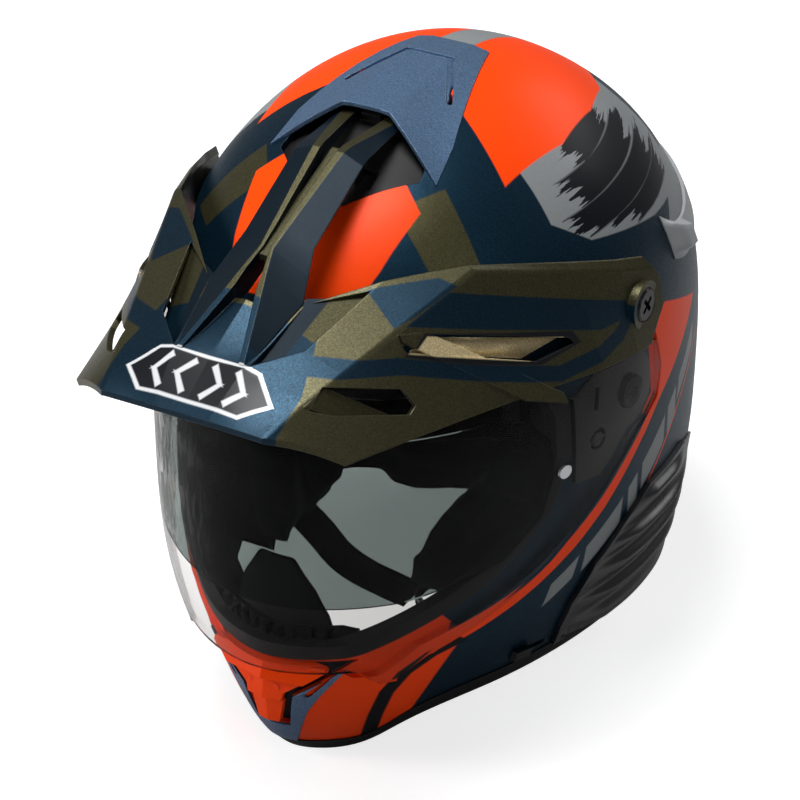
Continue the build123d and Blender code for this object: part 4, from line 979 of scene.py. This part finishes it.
def skirt_rise(u, v):
    """Height of the folds: each swells out to its upper line, rolls in there, and dies out rearward."""
    swell = 0.0
    for low, high in zip(fold_lines, fold_lines[1:]):
        if low <= v < high:
            band = (v - low) / (high - low)
            rolled = band >= fold_roll_from
            swell = smooth_step((1 - band) / (1 - fold_roll_from) if rolled else band / fold_roll_from)
    fade = smooth_step((fold_die_end - u) / (fold_die_end - fold_die_from)) * min(1.0, u / fold_start)
    edge_lip = skirt_lip * max(smooth_step((v - 0.955) / 0.012), smooth_step((0.035 - u) / 0.02))
    return skirt_low + skirt_fold_rise * swell * fade + edge_lip


skirt_plastic = moulded("skirt_black_plastic", (0.009, 0.009, 0.011, 1.0), 0.29, pits=1400.0, depth=0.05,
                        Specular_IOR_Level=0.65)
for side, solid in ((1, "side_skirt_left"), (-1, "side_skirt_right")):
    skirt = shown(solid + "_cover", skin_cover(solid, skirt_columns, skirt_rows, skirt_base(side),
                                               skirt_rise), skirt_plastic)
    skirt.data.set_sharp_from_angle(angle=math.radians(40))
    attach(skirt, "helmet")
    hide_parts(solid)

spoiler_turn = math.radians(77)
spoiler_middle = Vector((0, 0.040, 0))
spoiler_top, spoiler_low = 0.210, 0.196
arch_top, arch_low, arch_wide = 0.014, 0.007, 0.24
tip_top, tip_low = 0.016, 0.008
spoiler_thin, spoiler_edge = 0.0008, 0.0010
outlet_rise, outlet_wide, outlet_tall = 0.0060, 0.30, 1.15
pad_rise, pad_from = 0.0056, 0.84


def spoiler_base(u, v):
    bearing = (u * 2 - 1) * spoiler_turn
    tip = abs(u * 2 - 1)
    over_outlet = math.exp(-((tip / arch_wide) ** 2))
    top = spoiler_top + arch_top * over_outlet + tip_top * tip ** 10
    low = spoiler_low + arch_low * over_outlet + tip_low * tip ** 10
    aim = Vector((math.sin(bearing), math.cos(bearing), 0))
    return skin_at(spoiler_middle + aim * 0.4 + Vector((0, 0, top + (low - top) * v)), -aim)


def spoiler_rise(u, v):
    """The cover's height: thin along the skin, proud over the outlet, with a raised pad at each tip."""
    tip = abs(u * 2 - 1)
    outlet = outlet_rise * math.exp(-((tip / outlet_wide) ** 2)) * math.sin(min(1.0, v * outlet_tall) * math.pi / 2)
    pad = pad_rise * smooth_step((tip - pad_from) / 0.04) * smooth_step(v / 0.22) * smooth_step((0.92 - v) / 0.16)
    round_end = smooth_step((1.0 - tip) * 22)
    return spoiler_thin + (spoiler_edge + outlet + pad) * round_end


spoiler_plastic = moulded("spoiler_grey_plastic", (0.30, 0.31, 0.32, 1.0), 0.40, pits=1600.0, depth=0.08, rub=0.2)
spoiler = shown("rear_spoiler_cover", skin_cover("rear_spoiler_cover", 120, 16, spoiler_base, spoiler_rise),
                spoiler_plastic)
spoiler.data.set_sharp_from_angle(angle=math.radians(40))
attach(spoiler, "helmet")
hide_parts("rear_spoiler")

# Chin strap: black nylon webbing 22 mm wide, sewn back on itself round two steel rings on the
# left, and folded and stitched at its end on the right.
web_black = (0.016, 0.016, 0.018)
thread_black = (0.045, 0.045, 0.048)
strap_middle_y = 0.006
strap_wide = 0.022
strap_thick = 0.0018
stitch_size = (0.0007, 0.0003, 0.0002, 1.0)
stitched_share = 0.78


def webbing(name, colour):
    """Woven nylon: close ribs across the width, slightly shiny."""
    material, tree, shader = material_of(name, Sheen_Weight=0.2, Specular_IOR_Level=0.35, Roughness=0.62)
    spot = put(tree, "TexCoord").outputs["UV"]
    along, side = (put(tree, "TexWave", {"wave_type": "BANDS", "bands_direction": way}, Vector=spot, Scale=scale,
                       Distortion=warp).outputs["Fac"] for way, scale, warp in (("X", 180.0, 0.4), ("Y", 260.0, 0.6)))
    weave = calc(tree, "ADD", calc(tree, "MULTIPLY", along, 0.6), calc(tree, "MULTIPLY", side, 0.5))
    feed(tree, shader.inputs, Base_Color=scaled(tree, colour, around_one(tree, weave, 0.6, 0.7)),
         Normal=bumped(tree, weave, 0.5, 0.0004))
    return material


def rounded_route(points, pitch=0.002):
    """Points at an even pitch on a smooth curve through the given (x, z) points."""
    curve = bpy.data.curves.new("strap_route", "CURVE")
    curve.dimensions = "3D"
    spline = curve.splines.new("BEZIER")
    spline.bezier_points.add(len(points) - 1)
    for made, (x, z) in zip(spline.bezier_points, points):
        made.co = (x, strap_middle_y, z)
        made.handle_left_type = made.handle_right_type = "AUTO"
    spline.resolution_u = 24
    holder = bpy.data.objects.new("strap_route", curve)
    line = bpy.data.meshes.new_from_object(holder)
    out = even_points([v.co.copy() for v in line.vertices], pitch, closed=False)
    bpy.data.objects.remove(holder)
    return out


def ribbon(name, route, wide, thick, material):
    """Webbing swept along a route in the front view, with rounded edges and UVs in metres."""
    band = bmesh.new()
    uv = band.loops.layers.uv.new("UVMap")
    half, low = wide / 2, thick / 2
    section = [(-half, 0), (-half + low, low), (-half * 0.5, low * 1.04), (0, low * 1.06), (half * 0.5, low * 1.04),
               (half - low, low), (half, 0), (half - low, -low), (0, -low * 1.06), (-half + low, -low)]
    rings, runs, run = [], [], 0.0
    for k, place in enumerate(route):
        ahead = route[min(k + 1, len(route) - 1)] - route[max(k - 1, 0)]
        face = Vector((-ahead.z, 0, ahead.x)).normalized()
        ripple = 1.0 + 0.02 * math.sin(k * 1.7)
        rings.append([band.verts.new(place + Vector((0, y, 0)) + face * d * ripple) for y, d in section])
        runs.append(run)
        if k + 1 < len(route):
            run += (route[k + 1] - place).length
    count = len(section)
    for k in range(len(rings) - 1):
        for j in range(count):
            corner = (rings[k][j], rings[k][(j + 1) % count], rings[k + 1][(j + 1) % count], rings[k + 1][j])
            face = band.faces.new(corner)
            spots = ((k, j), (k, j + 1), (k + 1, j + 1), (k + 1, j))
            for loop, (a, b) in zip(face.loops, spots):
                loop[uv].uv = (runs[a], b / count * wide * 2)
    band.faces.new(list(reversed(rings[0])))
    band.faces.new(rings[-1])
    bmesh.ops.recalc_face_normals(band, faces=band.faces[:])
    return shown(name, mesh_of(name, band), material)


def stitch_box(name, route, first, last, material, rows=5, lift=0.0011):
    """Rows of thread across the webbing where its end is sewn down, as short raised dashes."""
    threads = bmesh.new()
    for k in range(first, last):
        place = route[k]
        ahead = (route[k + 1] - place).normalized()
        face = Vector((-ahead.z, 0, ahead.x))
        for row in range(rows):
            y = (row - (rows - 1) / 2) * strap_wide * stitched_share / (rows - 1)
            for side in (-1, 1):
                middle = place + Vector((0, y, 0)) + face * lift * side
                turn_in = Matrix((ahead, Vector((0, 1, 0)), face)).transposed().to_4x4()
                placed = Matrix.Translation(middle) @ turn_in @ Matrix.Diagonal(stitch_size)
                bmesh.ops.create_icosphere(threads, subdivisions=1, radius=1.0, matrix=placed)
    piece = shown(name, mesh_of(name, threads), material)
    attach(piece, "helmet")


web = webbing("strap_webbing", web_black)
thread = webbing("strap_thread", thread_black)
route_left = rounded_route([(0.0915, 0.0436), (0.078, 0.0430), (0.060, 0.0310), (0.046, 0.0180), (0.0225, 0.0150)])
route_right = rounded_route([(-0.0915, 0.0436), (-0.078, 0.0430), (-0.060, 0.0310), (-0.044, 0.0170),
                             (-0.016, 0.0095), (-0.002, 0.0080)])
loop_middle, loop_reach = Vector((0.018, strap_middle_y, 0.014)), 0.0028
loop_route = [loop_middle + Vector((math.cos(a), 0, math.sin(a))) * (loop_reach + strap_thick / 2)
              for a in [math.radians(15 + 330 * k / 16) for k in range(17)]]
for name, route, solid, ends in (("chin_strap_left_web", route_left, "chin_strap_left", (-9, -3)),
                                 ("chin_strap_right_web", route_right, "chin_strap_right", (-7, -2)),
                                 ("ring_loop_web", loop_route, "chin_strap_left", None)):
    band = ribbon(name, route, strap_wide, strap_thick, web)
    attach(band, "helmet")
    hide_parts(solid)
    if ends:
        stitch_box(name + "_stitches", route, len(route) + ends[0], len(route) + ends[1], thread)
dress(steel, "d_rings")
